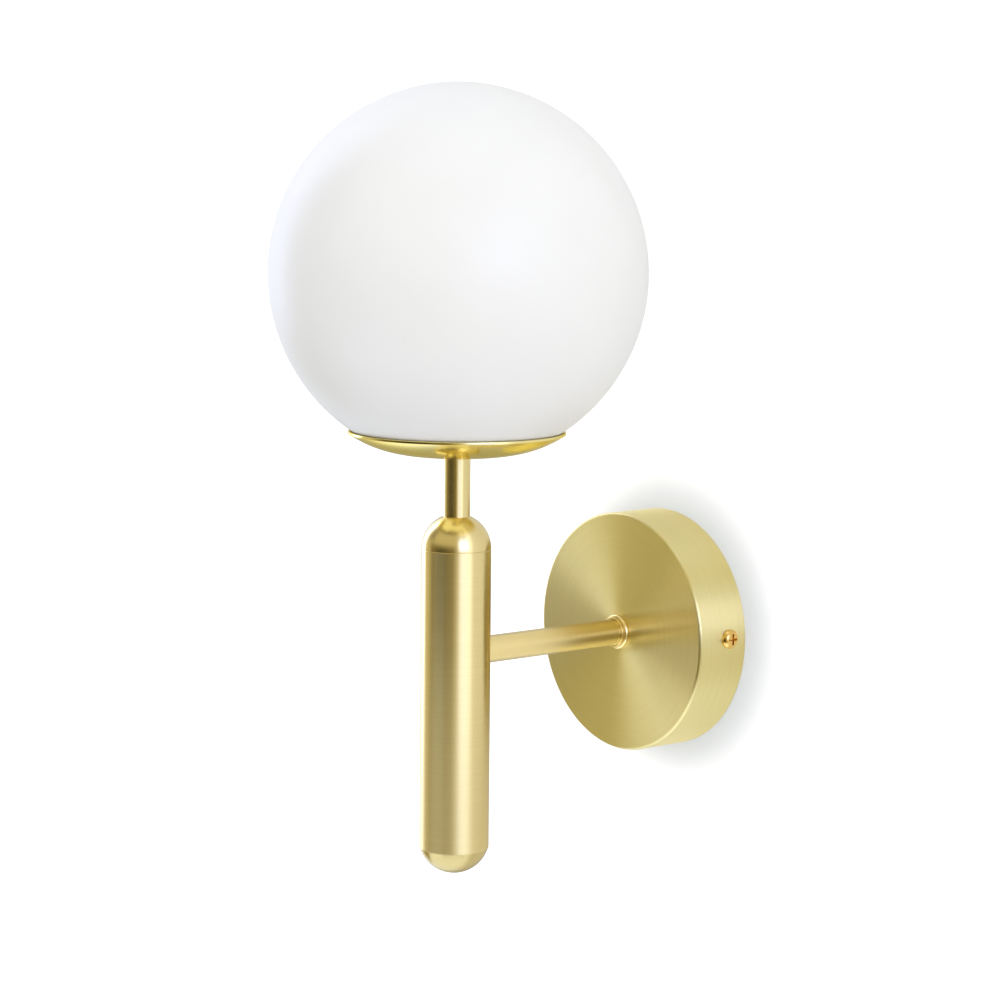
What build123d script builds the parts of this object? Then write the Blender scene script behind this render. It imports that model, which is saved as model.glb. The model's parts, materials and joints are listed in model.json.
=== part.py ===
from build123d import *
import math
import os

# Globe wall sconce, in millimetres.
# Origin: centre of the wall plate's back, on the wall. +Z is up and +Y points into the wall, so the
# lamp stands out along -Y: a plate, a short arm, an upright capsule-shaped body, a stem, a dish and
# an opal glass globe that lifts off to reach the bulb.
#
# Two working frames are used.
# Wall frame: x to the right, y up, z out of the wall. from_wall() turns a piece into the lamp's frame.
# Body frame: z up from the height of the arm, x = y = 0 on the body's upright axis. on_body() places it.

# --- Wall plate: a spun cup over a stamped steel bracket ---
PLATE_DIA = 100.0
PLATE_DEPTH = 25.0
PLATE_SHEET = 1.2
PLATE_EDGE_RADIUS = 1.2
SIDE_SCREW_SETBACK = 9.1        # wall to the side screws
SIDE_SCREW_RISE = 2.3           # side screws above the plate's centre

BRACKET_SHEET = 1.5
BRACKET_BEND = 1.5              # inside a bend of the strip
BRACKET_WIDTH = 24.0
WALL_SLOT_SPACING = 60.0
WALL_SLOT_WIDTH = 4.6
WALL_SLOT_LENGTH = 14.0
CABLE_HOLE_DIA = 14.0
TAB_WIDTH = 14.0
TAB_OVERHANG = 6.0              # tab beyond the side screw's axis
EARTH_SCREW_OFFSET = 15.0       # from the centre, to the right

# --- Terminal block: three poles on the bracket's tongue ---
POLE_PITCH = 8.0
POLE_COUNT = 3
POLE_HEIGHT = 5.7               # pole axis above the bracket
BLOCK_DROP = 28.0               # block's centre below the plate's centre
BLOCK_WIDTH = 16.5              # along the wires
BLOCK_SLAB = 8.4
TOWER_DIA = 6.2
TOWER_HEIGHT = 3.0
CLAMP_SPACING = 8.4             # between the two screws of a pole
INSERT_DIA = 5.0
INSERT_BORE_DIA = 3.0
INSERT_LENGTH = 14.0
CLAMP_SCREW_DIA = 2.6
BLOCK_MARGIN = 0.2              # housing beyond the outer poles' half pitch
BLOCK_CHAMFER = 0.8
TONGUE_MARGIN = 0.8             # tongue beyond the block
CLAMP_SCREW_SINK = 1.2          # screw's top below its tower's rim
CLAMP_HEAD_HEIGHT = 1.2
CLAMP_SLOT_WIDTH = 0.5
CLAMP_SLOT_DEPTH = 0.8

# --- Arm, collar and the threads of the lamp's tubes ---
ARM_DIA = 11.0
ARM_REACH = 112.3               # wall to the body's axis
TUBE_BORE_DIA = 7.4             # way for the wires
LAMP_THREAD_DIA = 10.0
LAMP_NUT_FLATS = 14.0
ARM_NUT_THICKNESS = 4.0
LOCK_WASHER_THICKNESS = 1.0
LOCK_WASHER_BAND = 4.0
LOCK_WASHER_TEETH = 12
THREAD_STAND_OUT = 1.8          # thread beyond a nut
THREAD_BEVEL = 0.4
NUT_BEVEL_SHARE = 0.6           # of what a nut's corners stand out
COLLAR_FOOT = 0.4               # straight foot behind the bead
COLLAR_BEAD_WIDTH = 2.2
COLLAR_BEAD_DIA = 14.7
COLLAR_BEAD_CROWN = 0.7         # bead beyond its own edges
COLLAR_GROOVE_WIDTH = 0.3
COLLAR_GROOVE_DEPTH = 0.3
COLLAR_RING_WIDTH = 0.9
COLLAR_RING_DIA = 12.8
COLLAR_RING_BEVEL = 0.2

# --- Body: a tube with a domed cap at each end ---
BODY_DIA = 28.0
BODY_SHEET = 1.0
BODY_LENGTH = 122.0             # seam to seam
BODY_BELOW_ARM = 79.4           # arm's axis to the lower seam
BOTTOM_DOME_DEPTH = 10.2
BOTTOM_DOME_STEP = 0.2          # lower dome set in from the tube
SPIGOT_LENGTH = 5.0
SEAM_CHAMFER = 0.25
HUB_HEIGHT = 28.0
HUB_SEAT_SINK = 1.5
HUB_THREAD_GRIP = 6.5
ROD_BEVEL = 0.5                 # on the hub and the tie rod
TIE_ROD_DIA = 6.0
TIE_ROD_GRIP = 7.5
DOME_NUT_SINK = 4.4             # coupling nut's seat above the upper seam
COUPLING_LENGTH = 20.0
COUPLING_GAP = 1.0              # between the two threads inside the coupling nut

# --- Stem and dish ---
STEM_DIA = 10.8
STEM_LENGTH = 24.5              # between the top dome and the dish
DISH_SHEET = 1.0
DISH_CURVE_RADIUS = 124.0
DISH_HEIGHT = 9.6
DISH_FLAT_DIA = 13.0
RIM_ROUNDING_SHARE = 0.35       # of the dish's sheet
SPACER_HEIGHT = 2.2
SPACER_DIA = 13.0
DISH_NUT_THICKNESS = 3.0

# --- Globe of opal glass ---
GLOBE_DIA = 150.0
GLOBE_WALL = 3.0
GLOBE_OPENING_DIA = 80.0
LIP_ROUNDING = 0.6
RIM_GAP = 0.4                   # glass to the dish's rim
GASKET_EDGE = 0.4               # gasket's thickness under the lip's outer edge
GASKET_WIDTH = 7.0

# --- Leaf clips on a three-armed plate ---
CLIP_COUNT = 3
CLIP_FIRST_ANGLE = 90.0
SPIDER_SHEET = 0.8
SPIDER_DIA = 24.0
SPIDER_REACH = 22.5
CLIP_WIDTH = 8.0
CLIP_SHEET = 0.5
CLIP_FOOT = 7.0                 # flat foot of a clip
CLIP_KNEE_RISE = 2.2            # knee above the glass lip
CLIP_TIP_RISE = 9.5             # tip above the glass lip
CLIP_TIP_INSET = 4.0            # tip inwards of the knee
CLIP_BEND_RADIUS = 1.5
RIVET_DIA = 3.0
RIVET_HEAD_DIA = 5.0
RIVET_HEAD_HEIGHT = 0.8
RIVET_TAIL_DIA = 3.6
RIVET_TAIL_HEIGHT = 0.4

# --- Two-pin lampholder on a bent strap ---
STRAP_SHEET = 1.0
STRAP_BEND = 0.5                # inside a bend of the strap
STRAP_WIDTH = 12.0
STRAP_HEIGHT = 16.0
HOLDER_LENGTH = 17.0
HOLDER_WIDTH = 13.0
HOLDER_HEIGHT = 17.0
HOLDER_ROUNDING = 2.0
EAR_HEIGHT = 5.0
EAR_WIDTH = 10.0
EAR_ROUNDING = 2.5
EAR_MARGIN = 3.0                # ear beyond its screw's axis
HOLDER_SCREW_SPACING = 23.0
HOLDER_SCREW_DIA = 3.0
SOCKET_DEPTH = 3.5
PIN_SPACING = 9.0
CONTACT_WIDTH = 3.0
CONTACT_HEIGHT = 8.0
CONTACT_SHEET = 0.3
CONTACT_ROOF = 1.5              # ceramic over the contact chambers

# --- Bulb with two wire-loop pins ---
PIN_WIRE_DIA = 0.7
PIN_LOOP_WIDTH = 2.7
PIN_LENGTH = 9.5
BULB_BASE_LENGTH = 14.0
BULB_BASE_WIDTH = 7.5
BULB_BASE_HEIGHT = 11.0
BULB_BASE_ROUNDING = 1.8
BULB_COLLAR_HEIGHT = 4.0
BULB_COLLAR_ROUNDING = 1.2
BULB_SPIGOT_HEIGHT = 2.0        # inside the cover
BULB_COVER_DIA = 15.5
BULB_COVER_WALL = 1.0
BULB_COVER_LENGTH = 32.0
BULB_POST_WIDTH = 7.0
BULB_POST_LENGTH = 24.0
BULB_POST_CHAMFER = 0.5
CHIP_SIZE = 2.4
CHIP_THICKNESS = 0.7
CHIP_ROWS = 5
CHIP_MARGIN = 2.6               # post's ends to the nearest chip's middle

# --- Wires and bushes ---
WIRE_DIA = 2.0
WIRE_SPREAD = 2.5               # between the two wires inside the tubes
HUB_BEND_RADIUS = 8.0
WIRE_TURN_OUT = 8.5             # wires' turn above the wall
WIRE_ENTRY = 4.0                # wire inside the block
WIRE_APPROACH = 7.0             # straight wire before the block
WIRE_JOIN_RISE = 2.6            # wires come together above the stem's bush
EARTH_WIRE_DROP = 1.5           # straight wire below the lug
EARTH_WIRE_RISE = 2.5           # straight wire above the block
BUSH_FLANGE = 1.2
BUSH_FLANGE_DIA = 9.6
BUSH_PLUG = 5.0
BUSH_BORE_DIA = 5.2

# --- Small screws ---
SIDE_SCREW_DIA = 4.0
SIDE_SCREW_LENGTH = 9.0
SIDE_SCREW_HEAD_DIA = 7.9
SIDE_SCREW_HEAD_HEIGHT = 2.5
EARTH_SCREW_DIA = 4.0
EARTH_SCREW_HEAD_DIA = 7.6
EARTH_SCREW_HEAD_HEIGHT = 2.2
LUG_SHEET = 0.8
LUG_DIA = 8.4
LUG_NECK_LENGTH = 1.0
LUG_NECK_WIDTH = 2.4
LUG_BARREL_DIA = 3.4
LUG_BARREL_LENGTH = 5.0
EARTH_WASHER_THICKNESS = 0.7
EARTH_WASHER_BAND = 1.5
EARTH_WASHER_TEETH = 8
BLOCK_SCREW_DIA = 2.5
# Standard proportions of a cross-recessed pan-head screw
HEAD_RATIO = 1.8                # head's diameter over its thread's, on the M2.5 and M3 screws
HEAD_HEIGHT_RATIO = 0.6         # head's height over its thread's diameter, on the same screws
HEAD_BRIM_SHARE = 0.35          # straight brim, of the head's height
HEAD_CROWN_SHARE = 0.4          # flat crown, of the head's radius
RECESS_WIDTH_SHARE = 0.24       # of the head's radius
RECESS_LENGTH_SHARE = 1.15      # of the head's radius
RECESS_DEPTH_SHARE = 0.62       # of the head's height
RECESS_TAPER = 12.0             # degrees
SCREW_TIP_SHARE = 0.2           # bevel of the tip, of the thread's radius

# --- Clearances ---
FIT = 0.05                      # radial, for threads and pressed-in pieces
SLIP = 0.1                      # radial, for pieces that slide together
SCREW_PLAY = 0.25               # radial, for screws in plain holes
PLATE_PLAY = 0.2                # bracket to the plate's wall
SEAT_GAP = 0.3                  # between pieces that come apart in use
CHAMBER_PLAY = 0.3              # contacts inside the ceramic


# --- Derived sizes ---
def half(size):
    """Half of a diameter, width or spacing."""
    return size / 2


plate_inner_r = half(PLATE_DIA) - PLATE_SHEET
bracket_r = plate_inner_r - PLATE_PLAY
tab_outer_x = math.sqrt(bracket_r**2 - (SIDE_SCREW_RISE + half(TAB_WIDTH)) ** 2)
tab_height = SIDE_SCREW_SETBACK + TAB_OVERHANG
pole_out = BRACKET_SHEET + POLE_HEIGHT
pole_xs = [(index - half(POLE_COUNT - 1)) * POLE_PITCH for index in range(POLE_COUNT)]
block_length = POLE_COUNT * POLE_PITCH + 2 * BLOCK_MARGIN
block_top = -BLOCK_DROP + half(BLOCK_WIDTH)
tower_top = BRACKET_SHEET + BLOCK_SLAB + TOWER_HEIGHT
lug_barrel_start = -half(LUG_DIA) - LUG_NECK_LENGTH

thread_r = half(LAMP_THREAD_DIA)
tapped_r = thread_r + FIT
nut_seat_out = PLATE_DEPTH - PLATE_SHEET - LOCK_WASHER_THICKNESS
arm_end_out = nut_seat_out - ARM_NUT_THICKNESS - THREAD_STAND_OUT
collar_bead_end = COLLAR_FOOT + COLLAR_BEAD_WIDTH
collar_groove_end = collar_bead_end + COLLAR_GROOVE_WIDTH
collar_length = collar_groove_end + COLLAR_RING_WIDTH

body_r = half(BODY_DIA)
spigot_r = body_r - BODY_SHEET - SLIP
hub_seat = spigot_r - HUB_SEAT_SINK
lower_seam = -BODY_BELOW_ARM
upper_seam = lower_seam + BODY_LENGTH
lower_dome_r = body_r - BOTTOM_DOME_STEP
stem_foot = upper_seam + math.sqrt(body_r**2 - half(STEM_DIA) ** 2)
dish_under = stem_foot + STEM_LENGTH
coupling_top = upper_seam + DOME_NUT_SINK
coupling_middle = coupling_top - half(COUPLING_LENGTH)

dish_floor = dish_under + DISH_SHEET
spider_base = dish_floor + SPACER_HEIGHT
strap_base = spider_base + SPIDER_SHEET
stem_washer_base = strap_base + STRAP_SHEET
stem_nut_base = stem_washer_base + LOCK_WASHER_THICKNESS
stem_end = stem_nut_base + DISH_NUT_THICKNESS + THREAD_STAND_OUT
strap_top = strap_base + STRAP_HEIGHT
holder_top = strap_top + HOLDER_HEIGHT
socket_floor = holder_top - SOCKET_DEPTH
holder_screw_x = half(HOLDER_SCREW_SPACING)
ear_end_x = holder_screw_x + EAR_MARGIN
contact_top = socket_floor - CONTACT_ROOF - CHAMBER_PLAY
contact_base = contact_top - CONTACT_HEIGHT
contact_depth = PIN_WIRE_DIA + 2 * (SEAT_GAP + CONTACT_SHEET)
bulb_foot = socket_floor + SEAT_GAP
bulb_collar_base = bulb_foot + BULB_BASE_HEIGHT
bulb_cover_base = bulb_collar_base + BULB_COLLAR_HEIGHT
bulb_post_base = bulb_cover_base + BULB_SPIGOT_HEIGHT


def dish_inside(radius):
    """Height of the dish's curved inner face at a radius from the axis."""
    inner = DISH_CURVE_RADIUS - DISH_SHEET
    return dish_under + DISH_CURVE_RADIUS - math.sqrt(inner**2 - radius**2)


def dish_outside(radius):
    """Height of the dish's curved underside at a radius from the axis."""
    return dish_under + DISH_CURVE_RADIUS - math.sqrt(DISH_CURVE_RADIUS**2 - radius**2)


globe_r = half(GLOBE_DIA)
globe_inner_r = globe_r - GLOBE_WALL
opening_r = half(GLOBE_OPENING_DIA)
gasket_top = dish_inside(opening_r) + GASKET_EDGE
lip_height = gasket_top + SEAT_GAP
lip_drop = math.sqrt(globe_r**2 - opening_r**2)
globe_centre = lip_height + lip_drop
lip_inner_r = math.sqrt(globe_inner_r**2 - lip_drop**2)
rim_top = dish_under + DISH_HEIGHT
rim_inner_r = math.sqrt(globe_r**2 - (globe_centre - rim_top) ** 2) + RIM_GAP
rim_r = rim_inner_r + DISH_SHEET


# --- Shared helpers ---
def from_wall(shape):
    """Turns a piece from the wall frame into the lamp's frame."""
    return Rot(90, 0, 0) * shape


def on_body(shape):
    """Places a piece from the body frame on the body's upright axis."""
    return Pos(0, -ARM_REACH, 0) * shape


def turned(*corners):
    """Solid turned about Z from an outline of (radius, height) corners."""
    return revolve(Plane.XZ * make_face(Polyline(*corners, close=True)), Axis.Z)


def turned_curves(*curves):
    """Solid turned about Z from lines and arcs that close an outline."""
    return revolve(Plane.XZ * make_face(Curve() + list(curves)), Axis.Z)


def rod(radius, low, high):
    """Upright cylinder between two heights."""
    return Pos(0, 0, low) * Cylinder(radius, high - low, align=(Align.CENTER, Align.CENTER, Align.MIN))


def tube(radius, bore, low, high):
    """Upright tube between two heights."""
    return turned((bore, low), (radius, low), (radius, high), (bore, high))


def block(length, width, height, low=0.0):
    """Box centred on Z that stands at a height."""
    return Pos(0, 0, low) * Box(length, width, height, align=(Align.CENTER, Align.CENTER, Align.MIN))


def bevelled_rod(radius, low, high, bevel):
    """Upright cylinder with both rims bevelled."""
    return turned(
        (0, low),
        (radius - bevel, low),
        (radius, low + bevel),
        (radius, high - bevel),
        (radius - bevel, high),
        (0, high),
    )


def hex_nut(flats, thickness, bore, low):
    """Hexagon nut with bevelled corners, standing at a height."""
    corner = flats / math.sqrt(3)
    bevel = (corner - half(flats)) * NUT_BEVEL_SHARE
    prism = Pos(0, 0, low) * extrude(RegularPolygon(half(flats), 6, major_radius=False), thickness)
    return (prism & bevelled_rod(corner, low, low + thickness, bevel)) - rod(bore, low, low + thickness)


def toothed_washer(bore, band, thickness, low, teeth=LOCK_WASHER_TEETH):
    """Lock washer with notches round its outer edge."""
    outer = bore + band
    washer = tube(outer, bore, low, low + thickness)
    notch_width = math.pi * outer / teeth
    for index in range(teeth):
        turn = Rot(0, 0, index * 360 / teeth)
        washer -= turn * Pos(outer, 0, 0) * block(half(band), notch_width, thickness, low)
    return washer


def cross_recess(width, length, depth, top):
    """Tapered cross that a screwdriver turns, cut downwards from a height."""
    cross = Rectangle(length, width) + Rectangle(width, length)
    return Pos(0, 0, top) * extrude(cross, -depth, taper=RECESS_TAPER)


def pan_head(radius, height):
    """Domed screw head that stands on z = 0."""
    brim = (radius, height * HEAD_BRIM_SHARE)
    crown = (radius * HEAD_CROWN_SHARE, height)
    return turned_curves(
        Polyline(crown, (0, height), (0, 0), (radius, 0), brim),
        TangentArc(crown, brim, tangent=(1, 0)),
    )


def pan_screw(radius, length, head_radius, head_height):
    """Cross-recessed pan-head screw, its head standing on z = 0 and its thread below."""
    recess_width = head_radius * RECESS_WIDTH_SHARE
    recess_length = head_radius * RECESS_LENGTH_SHARE
    recess = cross_recess(recess_width, recess_length, head_height * RECESS_DEPTH_SHARE, head_height)
    shank = bevelled_rod(radius, -length, 0, radius * SCREW_TIP_SHARE)
    return pan_head(head_radius, head_height) - recess + shank


def small_screw(diameter, length):
    """Pan-head screw of the M2.5 and M3 kind, in standard proportions."""
    return pan_screw(half(diameter), length, half(diameter) * HEAD_RATIO, diameter * HEAD_HEIGHT_RATIO)


def wire_bush(low):
    """Plastic bush that lines a tube's end: a flange above the end and a plug in the bore."""
    flange = tube(half(BUSH_FLANGE_DIA), half(BUSH_BORE_DIA), low, low + BUSH_FLANGE)
    plug = tube(half(TUBE_BORE_DIA) - FIT, half(BUSH_BORE_DIA), low - BUSH_PLUG, low)
    return flange + plug


# --- Wall bracket and what it carries (wall frame) ---
def bracket_strap():
    """U-shaped strap: the back strip with its two tabs bent out of the wall."""
    outer = Pos(0, half(tab_height)) * Rectangle(2 * tab_outer_x, tab_height)
    outer = fillet(outer.vertices().group_by(Axis.Y)[0], BRACKET_BEND + BRACKET_SHEET)
    inner = Rectangle(2 * (tab_outer_x - BRACKET_SHEET), tab_height)
    inner = Pos(0, half(tab_height) + BRACKET_SHEET) * inner
    inner = fillet(inner.vertices().group_by(Axis.Y)[0], BRACKET_BEND)
    section = Plane.XZ * (outer - inner)
    return Pos(0, SIDE_SCREW_RISE, 0) * extrude(section, half(TAB_WIDTH), both=True)


def wall_bracket():
    """Stamped steel bracket: slotted strip, bent tabs and a tongue for the terminal block."""
    strip_length = 2 * (tab_outer_x - BRACKET_BEND - BRACKET_SHEET)
    strip = block(strip_length, BRACKET_WIDTH, BRACKET_SHEET)
    tongue_end = block_top - BLOCK_WIDTH - TONGUE_MARGIN
    tongue = Pos(0, half(tongue_end)) * block(block_length + 2 * TONGUE_MARGIN, -tongue_end, BRACKET_SHEET)
    bracket = bracket_strap() + strip + tongue
    bracket &= rod(bracket_r, 0, tab_height)
    bracket -= rod(half(CABLE_HOLE_DIA), 0, BRACKET_SHEET)
    for side in (-1, 1):
        slot = extrude(SlotOverall(WALL_SLOT_LENGTH, WALL_SLOT_WIDTH), BRACKET_SHEET)
        bracket -= Pos(side * half(WALL_SLOT_SPACING), 0, 0) * slot
    tapped_side = Rot(0, 90, 0) * Cylinder(half(SIDE_SCREW_DIA) + FIT, 2 * tab_outer_x)
    bracket -= Pos(0, SIDE_SCREW_RISE, SIDE_SCREW_SETBACK) * tapped_side
    bracket -= Pos(EARTH_SCREW_OFFSET, 0, 0) * rod(half(EARTH_SCREW_DIA) + FIT, 0, BRACKET_SHEET)
    bracket -= Pos(-half(POLE_PITCH), -BLOCK_DROP, 0) * rod(half(BLOCK_SCREW_DIA) + FIT, 0, BRACKET_SHEET)
    return from_wall(bracket)


def along_wires(shape):
    """Turns an upright piece to lie along the block's wires, its low end downwards."""
    return Rot(-90, 0, 0) * shape


def terminal_block():
    """Housing of the three-pole block: a slab with a screw tower over each clamp."""
    slab = Pos(0, -BLOCK_DROP) * block(block_length, BLOCK_WIDTH, BLOCK_SLAB, BRACKET_SHEET)
    housing = chamfer(slab.edges().filter_by(Axis.Z), BLOCK_CHAMFER)
    insert_hole = along_wires(Cylinder(half(INSERT_DIA) + FIT, INSERT_LENGTH))
    wire_hole = along_wires(Cylinder(half(INSERT_BORE_DIA), BLOCK_WIDTH))
    for pole_x in pole_xs:
        for clamp in (-1, 1):
            place = Pos(pole_x, -BLOCK_DROP + clamp * half(CLAMP_SPACING), 0)
            housing += place * rod(half(TOWER_DIA), BRACKET_SHEET + BLOCK_SLAB, tower_top)
            housing -= place * rod(half(CLAMP_SCREW_DIA) + SCREW_PLAY + SLIP, pole_out, tower_top)
        pole = Pos(pole_x, -BLOCK_DROP, pole_out)
        housing -= pole * insert_hole
        housing -= pole * wire_hole
    fixing = rod(half(BLOCK_SCREW_DIA) + SLIP, BRACKET_SHEET, BRACKET_SHEET + BLOCK_SLAB)
    housing -= Pos(-half(POLE_PITCH), -BLOCK_DROP, 0) * fixing
    return from_wall(housing)


def terminal_inserts():
    """Brass clamp tubes inside the block, one for each pole."""
    body = Cylinder(half(INSERT_DIA), INSERT_LENGTH) - Cylinder(half(INSERT_BORE_DIA), INSERT_LENGTH)
    inserts = []
    for pole_x in pole_xs:
        insert = Pos(pole_x, -BLOCK_DROP, pole_out) * along_wires(body)
        for clamp in (-1, 1):
            place = Pos(pole_x, -BLOCK_DROP + clamp * half(CLAMP_SPACING), 0)
            insert -= place * rod(half(CLAMP_SCREW_DIA) + FIT, pole_out, pole_out + INSERT_DIA)
        inserts.append(from_wall(insert))
    return Compound(inserts)


def terminal_screws():
    """Slotted clamp screws of the block, two for each pole, their tips on the wires."""
    tip = pole_out + half(WIRE_DIA) + SLIP
    head = half(CLAMP_SCREW_DIA) + SCREW_PLAY
    top = tower_top - CLAMP_SCREW_SINK
    neck = top - CLAMP_HEAD_HEIGHT
    shank = half(CLAMP_SCREW_DIA)
    screw = turned((0, tip), (shank, tip), (shank, neck), (head, neck), (head, top), (0, top))
    screw -= block(2 * head, CLAMP_SLOT_WIDTH, CLAMP_SLOT_DEPTH, top - CLAMP_SLOT_DEPTH)
    screws = []
    for pole_x in pole_xs:
        for clamp in (-1, 1):
            place = Pos(pole_x, -BLOCK_DROP + clamp * half(CLAMP_SPACING), 0)
            screws.append(from_wall(place * screw))
    return Compound(screws)


def terminal_fixing_screw():
    """Screw that holds the block to the bracket's tongue."""
    head_seat = BRACKET_SHEET + BLOCK_SLAB
    screw = small_screw(BLOCK_SCREW_DIA, head_seat - SLIP)
    return from_wall(Pos(-half(POLE_PITCH), -BLOCK_DROP, head_seat) * screw)


def earth_lug():
    """Ring terminal: a flat ring under the earth screw and a crimped barrel below it."""
    hole_r = half(EARTH_SCREW_DIA) + SCREW_PLAY
    ring = tube(half(LUG_DIA), hole_r, BRACKET_SHEET, BRACKET_SHEET + LUG_SHEET)
    ring_band = half(LUG_DIA) - hole_r
    neck = block(LUG_NECK_WIDTH, LUG_NECK_LENGTH + half(ring_band), LUG_SHEET, BRACKET_SHEET)
    neck = Pos(0, lug_barrel_start + half(LUG_NECK_LENGTH + half(ring_band)), 0) * neck
    barrel = Cylinder(half(LUG_BARREL_DIA), LUG_BARREL_LENGTH)
    barrel -= Cylinder(half(WIRE_DIA) + FIT, LUG_BARREL_LENGTH)
    barrel_middle = lug_barrel_start - half(LUG_BARREL_LENGTH)
    barrel = Pos(0, barrel_middle, BRACKET_SHEET + half(LUG_BARREL_DIA)) * along_wires(barrel)
    return from_wall(Pos(EARTH_SCREW_OFFSET, 0, 0) * (ring + neck + barrel))


def earth_washer():
    """Toothed washer between the lug and the earth screw's head."""
    washer = toothed_washer(
        half(EARTH_SCREW_DIA) + SCREW_PLAY,
        EARTH_WASHER_BAND,
        EARTH_WASHER_THICKNESS,
        BRACKET_SHEET + LUG_SHEET,
        EARTH_WASHER_TEETH,
    )
    return from_wall(Pos(EARTH_SCREW_OFFSET, 0, 0) * washer)


def earth_screw():
    """Screw that bonds the earth wire to the bracket."""
    seat = BRACKET_SHEET + LUG_SHEET + EARTH_WASHER_THICKNESS
    head_r = half(EARTH_SCREW_HEAD_DIA)
    screw = pan_screw(half(EARTH_SCREW_DIA), seat - SLIP, head_r, EARTH_SCREW_HEAD_HEIGHT)
    return from_wall(Pos(EARTH_SCREW_OFFSET, 0, seat) * screw)


# --- Wall plate, collar and arm (wall frame) ---
def wall_plate():
    """Spun cup with a hole for the arm and two for the side screws."""
    cup = turned(
        (plate_inner_r, 0),
        (half(PLATE_DIA), 0),
        (half(PLATE_DIA), PLATE_DEPTH),
        (tapped_r, PLATE_DEPTH),
        (tapped_r, PLATE_DEPTH - PLATE_SHEET),
        (plate_inner_r, PLATE_DEPTH - PLATE_SHEET),
    )
    front_edge = cup.edges().filter_by(GeomType.CIRCLE).group_by(Axis.Z)[-1].sort_by(SortBy.RADIUS)[-1]
    cup = fillet(front_edge, PLATE_EDGE_RADIUS)
    side_holes = Rot(0, 90, 0) * Cylinder(half(SIDE_SCREW_DIA) + SCREW_PLAY, 2 * PLATE_DIA)
    return from_wall(cup - Pos(0, SIDE_SCREW_RISE, SIDE_SCREW_SETBACK) * side_holes)


def side_screws():
    """The two screws that hold the plate to the bracket's tabs."""
    head_r = half(SIDE_SCREW_HEAD_DIA)
    screw = pan_screw(half(SIDE_SCREW_DIA), SIDE_SCREW_LENGTH, head_r, SIDE_SCREW_HEAD_HEIGHT)
    screws = []
    for side in (-1, 1):
        place = Pos(side * half(PLATE_DIA), SIDE_SCREW_RISE, SIDE_SCREW_SETBACK)
        screws.append(from_wall(place * Rot(0, side * 90, 0) * screw))
    return Compound(screws)


def arm_collar():
    """Turned ring at the arm's root: a rounded bead and a thinner ring in front of it."""
    bore = half(ARM_DIA) + SLIP
    bead = half(COLLAR_BEAD_DIA)
    edge = bead - COLLAR_BEAD_CROWN
    bead_middle = COLLAR_FOOT + half(COLLAR_BEAD_WIDTH)
    ring = half(COLLAR_RING_DIA)
    groove = ring - COLLAR_GROOVE_DEPTH
    collar = turned_curves(
        Polyline((bore, collar_length), (bore, 0), (edge, 0), (edge, COLLAR_FOOT)),
        ThreePointArc((edge, COLLAR_FOOT), (bead, bead_middle), (edge, collar_bead_end)),
        Polyline(
            (edge, collar_bead_end),
            (groove, collar_bead_end),
            (groove, collar_groove_end),
            (ring, collar_groove_end),
            (ring, collar_length - COLLAR_RING_BEVEL),
            (ring - COLLAR_RING_BEVEL, collar_length),
            (bore, collar_length),
        ),
    )
    return from_wall(Pos(0, 0, PLATE_DEPTH) * collar)


def arm_tube():
    """Arm between the plate and the hub, turned down to the lamp thread at both ends."""
    hub_shoulder = ARM_REACH - hub_seat
    tip = hub_shoulder + HUB_THREAD_GRIP
    bore = half(TUBE_BORE_DIA)
    arm = turned(
        (bore, arm_end_out),
        (thread_r - THREAD_BEVEL, arm_end_out),
        (thread_r, arm_end_out + THREAD_BEVEL),
        (thread_r, PLATE_DEPTH),
        (half(ARM_DIA), PLATE_DEPTH),
        (half(ARM_DIA), hub_shoulder),
        (thread_r, hub_shoulder),
        (thread_r, tip - THREAD_BEVEL),
        (thread_r - THREAD_BEVEL, tip),
        (bore, tip),
    )
    return from_wall(arm)


def plate_washer():
    """Toothed washer behind the plate's face."""
    bore = thread_r + SCREW_PLAY
    return from_wall(toothed_washer(bore, LOCK_WASHER_BAND, LOCK_WASHER_THICKNESS, nut_seat_out))


def plate_nut():
    """Nut that pulls the arm's shoulder onto the plate."""
    low = nut_seat_out - ARM_NUT_THICKNESS
    return from_wall(hex_nut(LAMP_NUT_FLATS, ARM_NUT_THICKNESS, tapped_r, low))


def arm_bush():
    """Bush that keeps the wires off the arm's cut end behind the plate."""
    return from_wall(Pos(0, 0, arm_end_out) * Rot(180, 0, 0) * wire_bush(0))


# --- Body (body frame) ---
def towards_wall(radius, near, far):
    """Cylinder along +Y between two distances from the body's axis."""
    return Rot(-90, 0, 0) * rod(radius, near, far)


def body_hub():
    """Brass hub inside the body: the arm screws in from the side, the nipple from above."""
    half_height = half(HUB_HEIGHT)
    bore = half(TUBE_BORE_DIA)
    hub = bevelled_rod(spigot_r, -half_height, half_height, ROD_BEVEL)
    hub -= towards_wall(half(ARM_DIA) + SCREW_PLAY, hub_seat, body_r)
    hub -= towards_wall(tapped_r, hub_seat - HUB_THREAD_GRIP - SLIP, hub_seat)
    hub -= towards_wall(bore, -bore, hub_seat)
    hub -= rod(tapped_r, half_height - HUB_THREAD_GRIP - SLIP, half_height)
    hub -= rod(bore, -bore, half_height)
    hub -= rod(half(TIE_ROD_DIA) + FIT, -half_height, -half_height + TIE_ROD_GRIP + SLIP)
    return on_body(hub)


def body_tube():
    """Brushed outer tube with a side hole for the arm."""
    shell = turned(
        (body_r - BODY_SHEET, lower_seam),
        (body_r - SEAM_CHAMFER, lower_seam),
        (body_r, lower_seam + SEAM_CHAMFER),
        (body_r, upper_seam - SEAM_CHAMFER),
        (body_r - SEAM_CHAMFER, upper_seam),
        (body_r - BODY_SHEET, upper_seam),
    )
    return on_body(shell - towards_wall(half(ARM_DIA) + SLIP, 0, BODY_DIA))


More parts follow.
